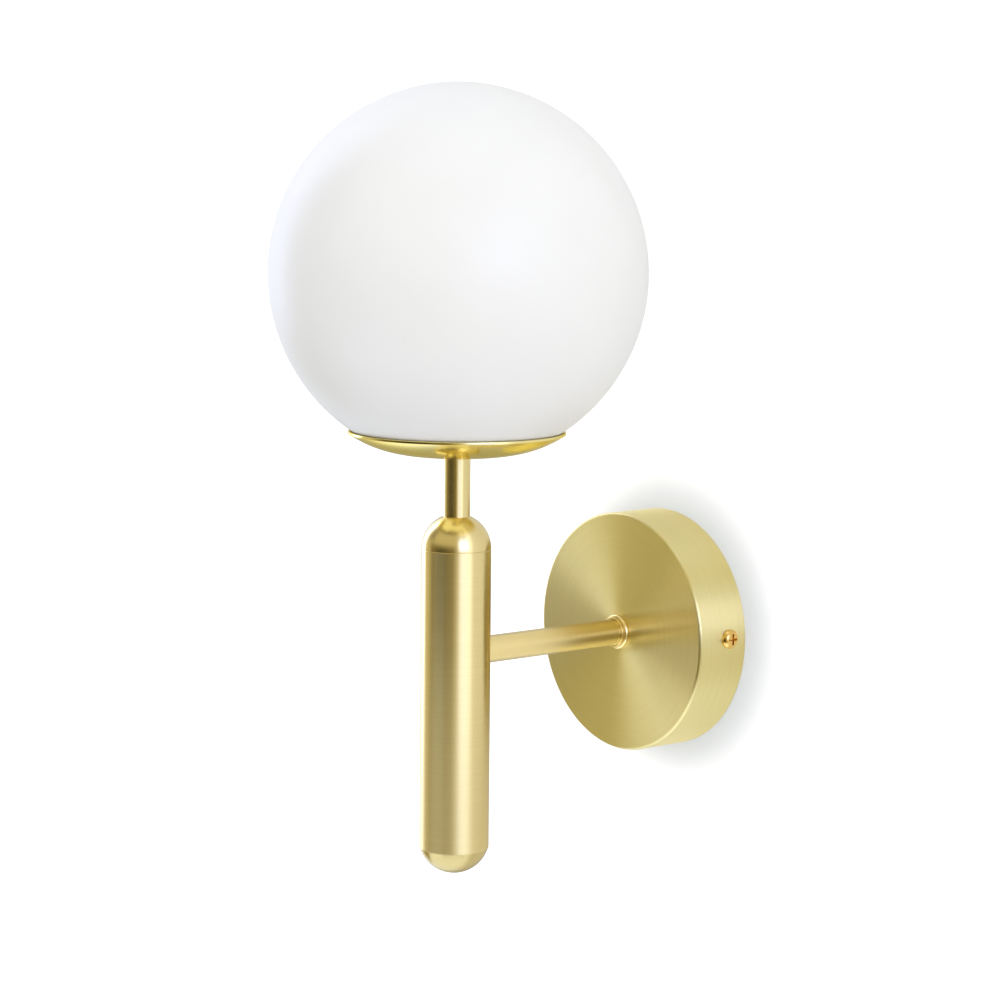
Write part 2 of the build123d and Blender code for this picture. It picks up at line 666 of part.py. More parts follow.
def top_dome():
    """Half-round cap with a spigot below, a seat for the stem and room for the coupling nut."""
    nut_room = LAMP_NUT_FLATS / math.sqrt(3) + SCREW_PLAY
    middle = math.radians(45)
    dome = turned_curves(
        Polyline(
            (half(STEM_DIA), stem_foot),
            (tapped_r, stem_foot),
            (tapped_r, coupling_top),
            (nut_room, coupling_top),
            (nut_room, upper_seam - SPIGOT_LENGTH),
            (spigot_r, upper_seam - SPIGOT_LENGTH),
            (spigot_r, upper_seam),
            (body_r, upper_seam),
        ),
        ThreePointArc(
            (body_r, upper_seam),
            (body_r * math.cos(middle), upper_seam + body_r * math.sin(middle)),
            (half(STEM_DIA), stem_foot),
        ),
    )
    return on_body(dome)


def bottom_dome():
    """Shallow cap with a spigot above and a blind tapped hole for the tie rod."""
    depth = BOTTOM_DOME_DEPTH
    foot = lower_seam - depth
    curve = (lower_dome_r**2 + depth**2) / (2 * depth)
    middle = half(lower_dome_r)
    middle_height = foot + curve - math.sqrt(curve**2 - middle**2)
    cap = turned_curves(
        Polyline(
            (0, foot),
            (0, lower_seam + SPIGOT_LENGTH),
            (spigot_r, lower_seam + SPIGOT_LENGTH),
            (spigot_r, lower_seam),
            (lower_dome_r, lower_seam),
        ),
        ThreePointArc((lower_dome_r, lower_seam), (middle, middle_height), (0, foot)),
    )
    hole_end = lower_seam + SPIGOT_LENGTH - TIE_ROD_GRIP - SLIP
    return on_body(cap - rod(half(TIE_ROD_DIA) + FIT, hole_end, lower_seam + SPIGOT_LENGTH))


def tie_rod():
    """Stud that pulls the lower dome up against the hub."""
    low = lower_seam + SPIGOT_LENGTH - TIE_ROD_GRIP
    high = -half(HUB_HEIGHT) + TIE_ROD_GRIP
    return on_body(bevelled_rod(half(TIE_ROD_DIA), low, high, ROD_BEVEL))


def centre_nipple():
    """Hollow threaded rod between the hub and the coupling nut."""
    low = half(HUB_HEIGHT) - HUB_THREAD_GRIP
    high = coupling_middle - half(COUPLING_GAP)
    nipple = bevelled_rod(thread_r, low, high, THREAD_BEVEL)
    return on_body(nipple - rod(half(TUBE_BORE_DIA), low, high))


def coupling_nut():
    """Long nut that clamps the top dome to the stem and joins the stem to the nipple."""
    return on_body(hex_nut(LAMP_NUT_FLATS, COUPLING_LENGTH, tapped_r, coupling_top - COUPLING_LENGTH))


def stem_tube():
    """Stem with a threaded end through the dome and another through the dish."""
    low = coupling_middle + half(COUPLING_GAP)
    bore = half(TUBE_BORE_DIA)
    stem = turned(
        (bore, low),
        (thread_r - THREAD_BEVEL, low),
        (thread_r, low + THREAD_BEVEL),
        (thread_r, stem_foot),
        (half(STEM_DIA), stem_foot),
        (half(STEM_DIA), dish_under),
        (thread_r, dish_under),
        (thread_r, stem_end - THREAD_BEVEL),
        (thread_r - THREAD_BEVEL, stem_end),
        (bore, stem_end),
    )
    return on_body(stem)


# --- Dish and what is clamped in it (body frame) ---
def gallery_dish():
    """Shallow spun dish with an upright rim that hides the glass's opening."""
    flat = half(DISH_FLAT_DIA)
    outer_middle = half(flat + rim_r)
    inner_middle = half(flat + rim_inner_r)
    dish = turned_curves(
        Polyline((flat, dish_floor), (tapped_r, dish_floor), (tapped_r, dish_under), (flat, dish_under)),
        ThreePointArc(
            (flat, dish_under),
            (outer_middle, dish_outside(outer_middle)),
            (rim_r, dish_outside(rim_r)),
        ),
        Polyline(
            (rim_r, dish_outside(rim_r)),
            (rim_r, rim_top),
            (rim_inner_r, rim_top),
            (rim_inner_r, dish_inside(rim_inner_r)),
        ),
        ThreePointArc(
            (rim_inner_r, dish_inside(rim_inner_r)),
            (inner_middle, dish_inside(inner_middle)),
            (flat, dish_floor),
        ),
    )
    rim_edges = dish.edges().filter_by(GeomType.CIRCLE).group_by(Axis.Z)[-1]
    return on_body(fillet(rim_edges, RIM_ROUNDING_SHARE * DISH_SHEET))


def dish_spacer():
    """Collar that lifts the clip plate off the dish's floor."""
    return on_body(tube(half(SPACER_DIA), tapped_r, dish_floor, spider_base))


def clip_arm_place(index):
    """Turn about the axis of one arm of the clip plate."""
    return Rot(0, 0, CLIP_FIRST_ANGLE + index * 360 / CLIP_COUNT)


def rivet_radius():
    """Distance of the rivets from the axis."""
    return SPIDER_REACH - half(CLIP_FOOT)


def clip_plate():
    """Stamped plate with an arm for each leaf clip."""
    plate = rod(half(SPIDER_DIA), spider_base, strap_base)
    for index in range(CLIP_COUNT):
        arm = Pos(half(SPIDER_REACH), 0, 0) * block(SPIDER_REACH, CLIP_WIDTH, SPIDER_SHEET, spider_base)
        hole = Pos(rivet_radius(), 0, 0) * rod(half(RIVET_DIA) + FIT, spider_base, strap_base)
        plate += clip_arm_place(index) * arm
        plate -= clip_arm_place(index) * hole
    return on_body(plate - rod(tapped_r, spider_base, strap_base))


def leaf_clip(index):
    """Bent spring leaf whose knee stands just inside the glass lip."""
    layer = strap_base + half(CLIP_SHEET)
    knee_radius = lip_inner_r - SEAT_GAP - half(CLIP_SHEET)
    path = FilletPolyline(
        (SPIDER_REACH - CLIP_FOOT, 0, layer),
        (SPIDER_REACH, 0, layer),
        (knee_radius, 0, lip_height + CLIP_KNEE_RISE),
        (knee_radius - CLIP_TIP_INSET, 0, lip_height + CLIP_TIP_RISE),
        radius=CLIP_BEND_RADIUS,
    )
    start = Plane(origin=path @ 0, x_dir=(0, 1, 0), z_dir=path % 0)
    leaf = sweep(start * Rectangle(CLIP_WIDTH, CLIP_SHEET), path=path)
    hole = Pos(rivet_radius(), 0, 0) * rod(half(RIVET_DIA) + FIT, strap_base, strap_base + CLIP_SHEET)
    return on_body(clip_arm_place(index) * (leaf - hole))


def clip_rivets():
    """Rivets that hold the leaf clips to their plate."""
    top = strap_base + CLIP_SHEET
    head = half(RIVET_HEAD_DIA)
    shank = rod(half(RIVET_DIA), spider_base, top)
    upper = Pos(0, 0, top) * pan_head(head, RIVET_HEAD_HEIGHT)
    lower = rod(half(RIVET_TAIL_DIA), spider_base - RIVET_TAIL_HEIGHT, spider_base)
    rivet = Pos(rivet_radius(), 0, 0) * (shank + upper + lower)
    return Compound([on_body(clip_arm_place(index) * rivet) for index in range(CLIP_COUNT)])


def globe_gasket():
    """Silicone ring with a flat top for the glass and an underside that follows the dish."""
    outer = opening_r + GASKET_EDGE
    inner = opening_r - GASKET_WIDTH
    middle = half(outer + inner)
    ring = turned_curves(
        Polyline(
            (inner, dish_inside(inner) + FIT),
            (inner, gasket_top),
            (outer, gasket_top),
            (outer, dish_inside(outer) + FIT),
        ),
        ThreePointArc(
            (outer, dish_inside(outer) + FIT),
            (middle, dish_inside(middle) + FIT),
            (inner, dish_inside(inner) + FIT),
        ),
    )
    return on_body(ring)


def holder_strap():
    """Bent strap: a base on the stem, two legs and two inturned feet under the lampholder."""
    outer = Rectangle(2 * ear_end_x, STRAP_HEIGHT)
    outer = fillet(outer.vertices(), STRAP_BEND + STRAP_SHEET)
    inner = Rectangle(2 * (ear_end_x - STRAP_SHEET), STRAP_HEIGHT - 2 * STRAP_SHEET)
    inner = fillet(inner.vertices(), STRAP_BEND)
    mouth = Pos(0, half(STRAP_HEIGHT)) * Rectangle(HOLDER_LENGTH, 2 * (STRAP_SHEET + STRAP_BEND))
    section = Plane.XZ * Pos(0, half(STRAP_HEIGHT)) * (outer - inner - mouth)
    strap = Pos(0, 0, strap_base) * extrude(section, half(STRAP_WIDTH), both=True)
    strap -= rod(tapped_r, strap_base, stem_washer_base)
    for side in (-1, 1):
        strap -= Pos(side * holder_screw_x, 0, 0) * rod(half(HOLDER_SCREW_DIA) + FIT, stem_end, strap_top)
    return on_body(strap)


def stem_washer():
    """Toothed washer under the stem's nut."""
    bore = thread_r + SCREW_PLAY
    return on_body(toothed_washer(bore, LOCK_WASHER_BAND, LOCK_WASHER_THICKNESS, stem_washer_base))


def stem_nut():
    """Nut that clamps strap, clip plate, spacer and dish onto the stem."""
    return on_body(hex_nut(LAMP_NUT_FLATS, DISH_NUT_THICKNESS, tapped_r, stem_nut_base))


def stem_bush():
    """Bush that keeps the wires off the stem's upper end."""
    return on_body(wire_bush(stem_end))


# --- Lampholder (body frame) ---
def lampholder():
    """Ceramic block with two ears, a socket for the bulb's base and two contact chambers."""
    body = block(HOLDER_LENGTH, HOLDER_WIDTH, HOLDER_HEIGHT)
    body = fillet(body.edges().filter_by(Axis.Z), HOLDER_ROUNDING)
    ears = block(2 * ear_end_x, EAR_WIDTH, EAR_HEIGHT)
    ears = fillet(ears.edges().filter_by(Axis.Z), EAR_ROUNDING)
    ceramic = Pos(0, 0, strap_top) * (body + ears)
    socket_length = BULB_BASE_LENGTH + 2 * SEAT_GAP
    socket_width = BULB_BASE_WIDTH + 2 * SEAT_GAP
    socket = block(socket_length, socket_width, SOCKET_DEPTH, socket_floor)
    ceramic -= fillet(socket.edges().filter_by(Axis.Z), BULB_BASE_ROUNDING + SEAT_GAP)
    chamber_height = contact_top + CHAMBER_PLAY - strap_top
    for side in (-1, 1):
        chamber = block(
            CONTACT_WIDTH + 2 * CHAMBER_PLAY,
            contact_depth + 2 * CHAMBER_PLAY,
            chamber_height,
            strap_top,
        )
        slot_length = PIN_LOOP_WIDTH + 2 * SEAT_GAP
        pin_slot = block(slot_length, PIN_WIRE_DIA + 2 * SEAT_GAP, HOLDER_HEIGHT, strap_top)
        ceramic -= Pos(side * half(PIN_SPACING), 0, 0) * (chamber + pin_slot)
        ear_hole = rod(half(HOLDER_SCREW_DIA) + SCREW_PLAY, strap_top, strap_top + EAR_HEIGHT)
        ceramic -= Pos(side * holder_screw_x, 0, 0) * ear_hole
    return on_body(ceramic)


def holder_screws():
    """The two screws that hold the ceramic to the strap's feet."""
    seat = strap_top + EAR_HEIGHT
    screw = small_screw(HOLDER_SCREW_DIA, EAR_HEIGHT + STRAP_SHEET + THREAD_STAND_OUT)
    return Compound([on_body(Pos(side * holder_screw_x, 0, seat) * screw) for side in (-1, 1)])


def contact_springs():
    """Two U-shaped contacts, a leaf on each side of a pin."""
    inner_depth = contact_depth - 2 * CONTACT_SHEET
    channel = block(CONTACT_WIDTH, contact_depth, CONTACT_HEIGHT, contact_base)
    channel -= block(CONTACT_WIDTH, inner_depth, CONTACT_HEIGHT, contact_base + CONTACT_SHEET)
    return Compound([on_body(Pos(side * half(PIN_SPACING), 0, 0) * channel) for side in (-1, 1)])


# --- Bulb (body frame) ---
def bulb_pins():
    """Two wire loops below the bulb's base, each with a half-round tip."""
    wire_r = half(PIN_WIRE_DIA)
    leg = half(PIN_LOOP_WIDTH) - wire_r
    tip = bulb_foot - PIN_LENGTH + wire_r
    path = Line((-leg, 0, bulb_foot), (-leg, 0, tip + leg))
    path += ThreePointArc((-leg, 0, tip + leg), (0, 0, tip), (leg, 0, tip + leg))
    path += Line((leg, 0, tip + leg), (leg, 0, bulb_foot))
    loop = sweep(Plane(origin=(-leg, 0, bulb_foot), z_dir=(0, 0, -1)) * Circle(wire_r), path=path)
    return Compound([on_body(Pos(side * half(PIN_SPACING), 0, 0) * loop) for side in (-1, 1)])


def bulb_base():
    """White base: a flat block in the socket and a round collar that carries the cover."""
    foot = block(BULB_BASE_LENGTH, BULB_BASE_WIDTH, BULB_BASE_HEIGHT, bulb_foot)
    foot = fillet(foot.edges().filter_by(Axis.Z), BULB_BASE_ROUNDING)
    collar = rod(half(BULB_COVER_DIA), bulb_collar_base, bulb_cover_base)
    collar = fillet(collar.edges().group_by(Axis.Z)[0], BULB_COLLAR_ROUNDING)
    spigot = rod(half(BULB_COVER_DIA) - BULB_COVER_WALL - FIT, bulb_cover_base, bulb_post_base)
    return on_body(foot + collar + spigot)


def bulb_post():
    """Square ceramic post that carries the light-emitting chips."""
    post = block(BULB_POST_WIDTH, BULB_POST_WIDTH, BULB_POST_LENGTH, bulb_post_base)
    return on_body(chamfer(post.edges().filter_by(Axis.Z), BULB_POST_CHAMFER))


def bulb_chips():
    """Square chips in rows on the four sides of the post and one on its top."""
    first = bulb_post_base + CHIP_MARGIN
    pitch = (BULB_POST_LENGTH - 2 * CHIP_MARGIN) / (CHIP_ROWS - 1)
    out = half(BULB_POST_WIDTH + CHIP_THICKNESS)
    chips = []
    for side in range(4):
        for row in range(CHIP_ROWS):
            chip = Pos(out, 0, first + row * pitch) * Box(CHIP_THICKNESS, CHIP_SIZE, CHIP_SIZE)
            chips.append(on_body(Rot(0, 0, side * 90) * chip))
    top = block(CHIP_SIZE, CHIP_SIZE, CHIP_THICKNESS, bulb_post_base + BULB_POST_LENGTH)
    return Compound(chips + [on_body(top)])


def bulb_cover():
    """Clear tube with a half-round end over the chips."""
    outer = half(BULB_COVER_DIA)
    inner = outer - BULB_COVER_WALL
    shoulder = bulb_cover_base + BULB_COVER_LENGTH - outer
    middle = math.sqrt(0.5)
    cover = turned_curves(
        Polyline((inner, shoulder), (inner, bulb_cover_base), (outer, bulb_cover_base), (outer, shoulder)),
        ThreePointArc((outer, shoulder), (outer * middle, shoulder + outer * middle), (0, shoulder + outer)),
        Line((0, shoulder + outer), (0, shoulder + inner)),
        ThreePointArc((0, shoulder + inner), (inner * middle, shoulder + inner * middle), (inner, shoulder)),
    )
    return on_body(cover)


# --- Globe (body frame) ---
def globe_glass():
    """Opal glass sphere with a ground lip round its opening."""
    outer_top = (0, globe_centre + globe_r)
    inner_top = (0, globe_centre + globe_inner_r)
    outer_lip = (opening_r, lip_height)
    inner_lip = (lip_inner_r, lip_height)
    globe = turned_curves(
        ThreePointArc(outer_lip, (globe_r, globe_centre), outer_top),
        Line(outer_top, inner_top),
        ThreePointArc(inner_top, (globe_inner_r, globe_centre), inner_lip),
        Line(inner_lip, outer_lip),
    )
    lip_edges = globe.edges().filter_by(GeomType.CIRCLE).group_by(Axis.Z)[0]
    return on_body(fillet(lip_edges, LIP_ROUNDING))


# --- Wires (wall frame) ---
def arc_radius(before, corner, after):
    """Largest smooth radius for a wire's corner between its two runs."""
    incoming = Vector(*corner) - Vector(*before)
    outgoing = Vector(*after) - Vector(*corner)
    half_turn = math.radians(half(incoming.get_angle(outgoing)))
    return 0.45 * min(incoming.length, outgoing.length) / math.tan(half_turn)


def wire(name, points, limits):
    """Insulated wire along straight runs joined by arcs, each arc no larger than its limit."""
    radii = []
    for before, corner, after, limit in zip(points, points[1:], points[2:], limits):
        radii.append(min(arc_radius(before, corner, after), limit))
    print(name, "bend radii", [round(radius, 1) for radius in radii])
    path = FilletPolyline(*points, radius=radii)
    section = Plane(origin=path @ 0, z_dir=path % 0) * Circle(half(WIRE_DIA))
    return from_wall(sweep(section, path=path))


def lamp_wire(name, side, pole_x):
    """Wire from a lampholder contact down the stem, through the hub and arm, to a pole."""
    in_tube = side * half(WIRE_SPREAD)
    at_contact = side * half(PIN_SPACING)
    join = stem_end + BUSH_FLANGE + WIRE_JOIN_RISE
    points = [
        (at_contact, contact_base, ARM_REACH),
        (at_contact, half(join + contact_base), ARM_REACH),
        (in_tube, join, ARM_REACH),
        (in_tube, 0, ARM_REACH),
        (in_tube, 0, WIRE_TURN_OUT),
        (pole_x, block_top + WIRE_APPROACH, pole_out),
        (pole_x, block_top - WIRE_ENTRY, pole_out),
    ]
    free = float("inf")
    return wire(name, points, [free, free, HUB_BEND_RADIUS, free, free])


def earth_wire():
    """Short wire from the block's last pole to the ring terminal."""
    barrel_out = BRACKET_SHEET + half(LUG_BARREL_DIA)
    barrel_middle = lug_barrel_start - half(LUG_BARREL_LENGTH)
    points = [
        (EARTH_SCREW_OFFSET, barrel_middle, barrel_out),
        (EARTH_SCREW_OFFSET, barrel_middle - half(LUG_BARREL_LENGTH) - EARTH_WIRE_DROP, barrel_out),
        (pole_xs[-1], block_top + EARTH_WIRE_RISE, pole_out),
        (pole_xs[-1], block_top - WIRE_ENTRY, pole_out),
    ]
    free = float("inf")
    return wire("earth_wire", points, [free, free])


def pieces():
    """Every piece of the lamp under its node name."""
    found = {
        "wall_bracket": wall_bracket(),
        "terminal_block": terminal_block(),
        "terminal_inserts": terminal_inserts(),
        "terminal_screws": terminal_screws(),
        "terminal_fixing_screw": terminal_fixing_screw(),
        "earth_lug": earth_lug(),
        "earth_washer": earth_washer(),
        "earth_screw": earth_screw(),
        "wall_plate": wall_plate(),
        "side_screws": side_screws(),
        "arm_collar": arm_collar(),
        "arm_tube": arm_tube(),
        "plate_washer": plate_washer(),
        "plate_nut": plate_nut(),
        "arm_bush": arm_bush(),
        "body_hub": body_hub(),
        "body_tube": body_tube(),
        "top_dome": top_dome(),
        "bottom_dome": bottom_dome(),
        "tie_rod": tie_rod(),
        "centre_nipple": centre_nipple(),
        "coupling_nut": coupling_nut(),
        "stem_tube": stem_tube(),
        "gallery_dish": gallery_dish(),
        "dish_spacer": dish_spacer(),
        "clip_plate": clip_plate(),
        "clip_rivets": clip_rivets(),
        "globe_gasket": globe_gasket(),
        "holder_strap": holder_strap(),
        "stem_washer": stem_washer(),
        "stem_nut": stem_nut(),
        "stem_bush": stem_bush(),
        "lampholder": lampholder(),
        "holder_screws": holder_screws(),
        "contact_springs": contact_springs(),
        "bulb_pins": bulb_pins(),
        "bulb_base": bulb_base(),
        "bulb_post": bulb_post(),
        "bulb_chips": bulb_chips(),
        "bulb_cover": bulb_cover(),
        "globe_glass": globe_glass(),
        "live_wire": lamp_wire("live_wire", -1, pole_xs[0]),
        "neutral_wire": lamp_wire("neutral_wire", 1, pole_xs[1]),
        "earth_wire": earth_wire(),
    }
    for index in range(CLIP_COUNT):
        found[f"leaf_clip_{index + 1}"] = leaf_clip(index)
    return found


os.makedirs("parts", exist_ok=True)
for node, shape in pieces().items():
    export_step(shape, f"parts/{node}.step")
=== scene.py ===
"""Globe wall sconce: the finish of every surface, the turned brass and glass, and the studio round it.

The lamp's frame comes first and stays fixed: +Z is up, +Y points into the wall, and the origin is the
centre of the wall plate's back. Lengths are metres. Each sub-assembly below is a class that holds its
sizes and has methods that build its pieces and dress them.
"""
from __future__ import annotations

import json
import logging
import math
from dataclasses import dataclass, field
from enum import Enum

import bmesh
import bpy
from mathutils import Matrix, Vector

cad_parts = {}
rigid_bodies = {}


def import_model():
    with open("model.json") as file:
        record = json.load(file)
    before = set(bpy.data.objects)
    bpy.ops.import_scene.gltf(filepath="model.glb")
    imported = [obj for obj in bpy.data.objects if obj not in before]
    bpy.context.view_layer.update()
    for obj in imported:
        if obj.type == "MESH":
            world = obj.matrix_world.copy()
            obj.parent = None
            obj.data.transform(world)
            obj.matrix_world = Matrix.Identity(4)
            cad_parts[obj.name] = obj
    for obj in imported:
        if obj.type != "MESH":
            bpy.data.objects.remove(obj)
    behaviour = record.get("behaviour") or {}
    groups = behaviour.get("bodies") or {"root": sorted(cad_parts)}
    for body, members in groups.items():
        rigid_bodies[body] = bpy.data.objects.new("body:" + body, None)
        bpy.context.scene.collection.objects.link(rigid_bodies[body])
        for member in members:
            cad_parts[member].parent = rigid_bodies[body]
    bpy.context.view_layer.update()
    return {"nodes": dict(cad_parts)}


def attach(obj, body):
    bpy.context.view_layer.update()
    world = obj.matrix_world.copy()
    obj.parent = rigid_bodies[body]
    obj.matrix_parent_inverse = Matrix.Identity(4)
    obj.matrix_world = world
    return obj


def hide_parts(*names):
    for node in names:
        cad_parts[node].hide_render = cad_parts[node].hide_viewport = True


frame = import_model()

log = logging.getLogger("sconce")

MM = 0.001
GUIDE_RADIUS = 1.0              # circle that carries an outline while it is turned
POLE_MERGE = 0.0005 * MM        # points closer than this are one
CREASE = math.radians(32)       # edges sharper than this stay crisp

Point = tuple[float, float]
Triple = tuple[float, float, float]
Colour = Triple
Socket = bpy.types.NodeSocket
Node = bpy.types.Node
Object = bpy.types.Object
Material = bpy.types.Material

ZERO = (0.0, 0.0, 0.0)          # no shift, no turn or no size
NOISE_SPREAD = (0.3, 0.7)       # the part of a noise's range that carries it from one tone to the other
BAND_WIDTH, BAND_LENGTH = 5, 4  # broad brush bands over fine streaks
BAND_SHARE = 0.4                # of the bands in the brush pattern
QUARTER_TURN = 0.25
CROWN_REACH = 0.6               # of a domed head's radius, from its brim to its flat crown
CROWN_DROP = 0.65               # of a domed head's height
CROWN_STEPS = 10
SQUARE = ((-1, -1), (1, -1), (1, 1), (-1, 1))


class Axis(Enum):
    """What a round piece is turned about: the body's axis, the wall plate's, or its own at the origin."""

    UPRIGHT = "Z"
    WALL = "Y"
    LOOSE = "loose"


# --- Node graphs ---------------------------------------------------------------------------------
class Graph:
    """Short ways to add and join nodes in a material, a world or a geometry tree."""

    def __init__(self, tree: bpy.types.NodeTree) -> None:
        """Keeps the tree that the nodes go into."""
        self.tree = tree

    def add(self, kind: str, inputs: dict | None = None, **settings: object) -> Node:
        """Adds a node.

        Args:
            kind: Blender's name of the node type.
            inputs: A value or another node's output for each input, by name or place.
            settings: The node's own options.

        Returns:
            The new node.
        """
        node = self.tree.nodes.new(kind)
        for name, value in settings.items():
            setattr(node, name, value)
        for key, value in (inputs or {}).items():
            self.put(node.inputs[key], value)
        return node

    def out(self, kind: str, inputs: dict | None = None, **settings: object) -> Socket:
        """Adds a node and returns its first output."""
        return self.add(kind, inputs, **settings).outputs[0]

    def put(self, socket: Socket, value: object) -> None:
        """Links an output to a socket, or sets the socket's own value."""
        if isinstance(value, Socket):
            self.tree.links.new(value, socket)
        else:
            socket.default_value = value

    def math(self, operation: str, *values: object) -> Socket:
        """Returns the result of a Math node on up to three values."""
        return self.out("ShaderNodeMath", dict(enumerate(values)), operation=operation)

    def vector(self, *values: object) -> Socket:
        """Returns a vector made of three numbers."""
        return self.out("ShaderNodeCombineXYZ", dict(enumerate(values)))

    def parts(self, vector: object) -> list[Socket]:
        """Returns a vector's three numbers."""
        return list(self.add("ShaderNodeSeparateXYZ", {0: vector}).outputs)

    def ease(self, value: object, low: float, high: float, start: float = 0.0, end: float = 1.0) -> Socket:
        """Returns a value that eases from start to end as the given one goes from low to high."""
        inputs = {"Value": value, "From Min": low, "From Max": high, "To Min": start, "To Max": end}
        return self.out("ShaderNodeMapRange", inputs, interpolation_type="SMOOTHSTEP")

    def blend(self, share: object, first: object, second: object) -> Socket:
        """Returns a colour between two, by a share from 0 to 1."""
        node = self.add("ShaderNodeMix", {0: share, 6: first, 7: second}, data_type="RGBA")
        return node.outputs[2]

    def crisp(self, mesh: object, crease: object) -> Socket:
        """Returns a mesh shaded smooth but for the edges that bend more than the crease angle."""
        bend = self.add("GeometryNodeInputMeshEdgeAngle").outputs["Unsigned Angle"]
        smooth = self.out("GeometryNodeSetShadeSmooth", {"Geometry": mesh, "Shade Smooth": True})
        sharp = self.math("GREATER_THAN", bend, crease)
        inputs = {"Geometry": smooth, "Selection": sharp, "Shade Smooth": False}
        return self.out("GeometryNodeSetShadeSmooth", inputs, domain="EDGE")

    def noise(self, vector: object, scale: float, detail: float = 2.0, roughness: float = 0.5) -> Socket:
        """Returns noise between 0 and 1 at a position."""
        inputs = {"Vector": vector, "Scale": scale, "Detail": detail, "Roughness": roughness}
        return self.out("ShaderNodeTexNoise", inputs)


def opaque(colour: Colour) -> tuple[float, float, float, float]:
    """A colour with full alpha."""
    return (*colour, 1.0)


def shaded(colour: Colour, share: float) -> tuple[float, float, float, float]:
    """A colour made lighter or darker by a share, with full alpha."""
    return tuple(min(1.0, channel * share) for channel in colour) + (1.0,)


def blank_material(name: str) -> tuple[Material, Graph]:
    """Makes a material with an empty graph.

    Args:
        name: The material's name.

    Returns:
        The material and its graph.
    """
    material = bpy.data.materials.new(name)
    material.use_nodes = True
    material.node_tree.nodes.clear()
    return material, Graph(material.node_tree)


def linked(name: str, data: bpy.types.ID) -> Object:
    """Puts a mesh, a lamp or a camera into the scene.

    Args:
        name: The new object's name.
        data: What the object holds.

    Returns:
        The object.
    """
    made = bpy.data.objects.new(name, data)
    bpy.context.scene.collection.objects.link(made)
    return made


# --- Finishes ------------------------------------------------------------------------------------
@dataclass(frozen=True)
class Finish:
    """What every finish has: a name, a colour and how rough it is."""

    name: str
    colour: Colour
    roughness: float

    def start(self) -> tuple[Material, Graph, Node]:
        """Makes an empty material.

        Returns:
            The material, its graph and its Principled shader, joined to the output.
        """
        material, graph = blank_material(self.name)
        inputs = {"Base Color": opaque(self.colour), "Roughness": self.roughness}
        shader = graph.add("ShaderNodeBsdfPrincipled", inputs)
        graph.add("ShaderNodeOutputMaterial", {"Surface": shader.outputs[0]})
        return material, graph, shader

    def place(self, graph: Graph) -> Socket:
        """Returns the position on the piece, in the lamp's frame."""
        return graph.add("ShaderNodeTexCoord").outputs["Object"]

    def bump(self, graph: Graph, shader: Node, height: object, depth: float) -> None:
        """Raises the surface by a height from 0 to 1 times a depth in metres."""
        inputs = {"Strength": 1.0, "Distance": depth, "Height": height}
        graph.put(shader.inputs["Normal"], graph.out("ShaderNodeBump", inputs))

    def mottle(self, graph: Graph, shader: Node, cloud: object, tones: Point, grain: object, rough: Point,
               spread: Point = NOISE_SPREAD) -> None:
        """Clouds the colour and varies the roughness.

        Args:
            graph: The material's graph.
            shader: Its shader.
            cloud: Noise that the colour follows.
            tones: Shares of the colour, from dark to light.
            grain: Noise that the roughness follows.
            rough: The least and the greatest roughness.
            spread: The part of the cloud's range that counts.
        """
        dark, light = (shaded(self.colour, tone) for tone in tones)
        graph.put(shader.inputs["Base Color"], graph.blend(graph.ease(cloud, *spread), dark, light))
        graph.put(shader.inputs["Roughness"], graph.ease(grain, *NOISE_SPREAD, *rough))


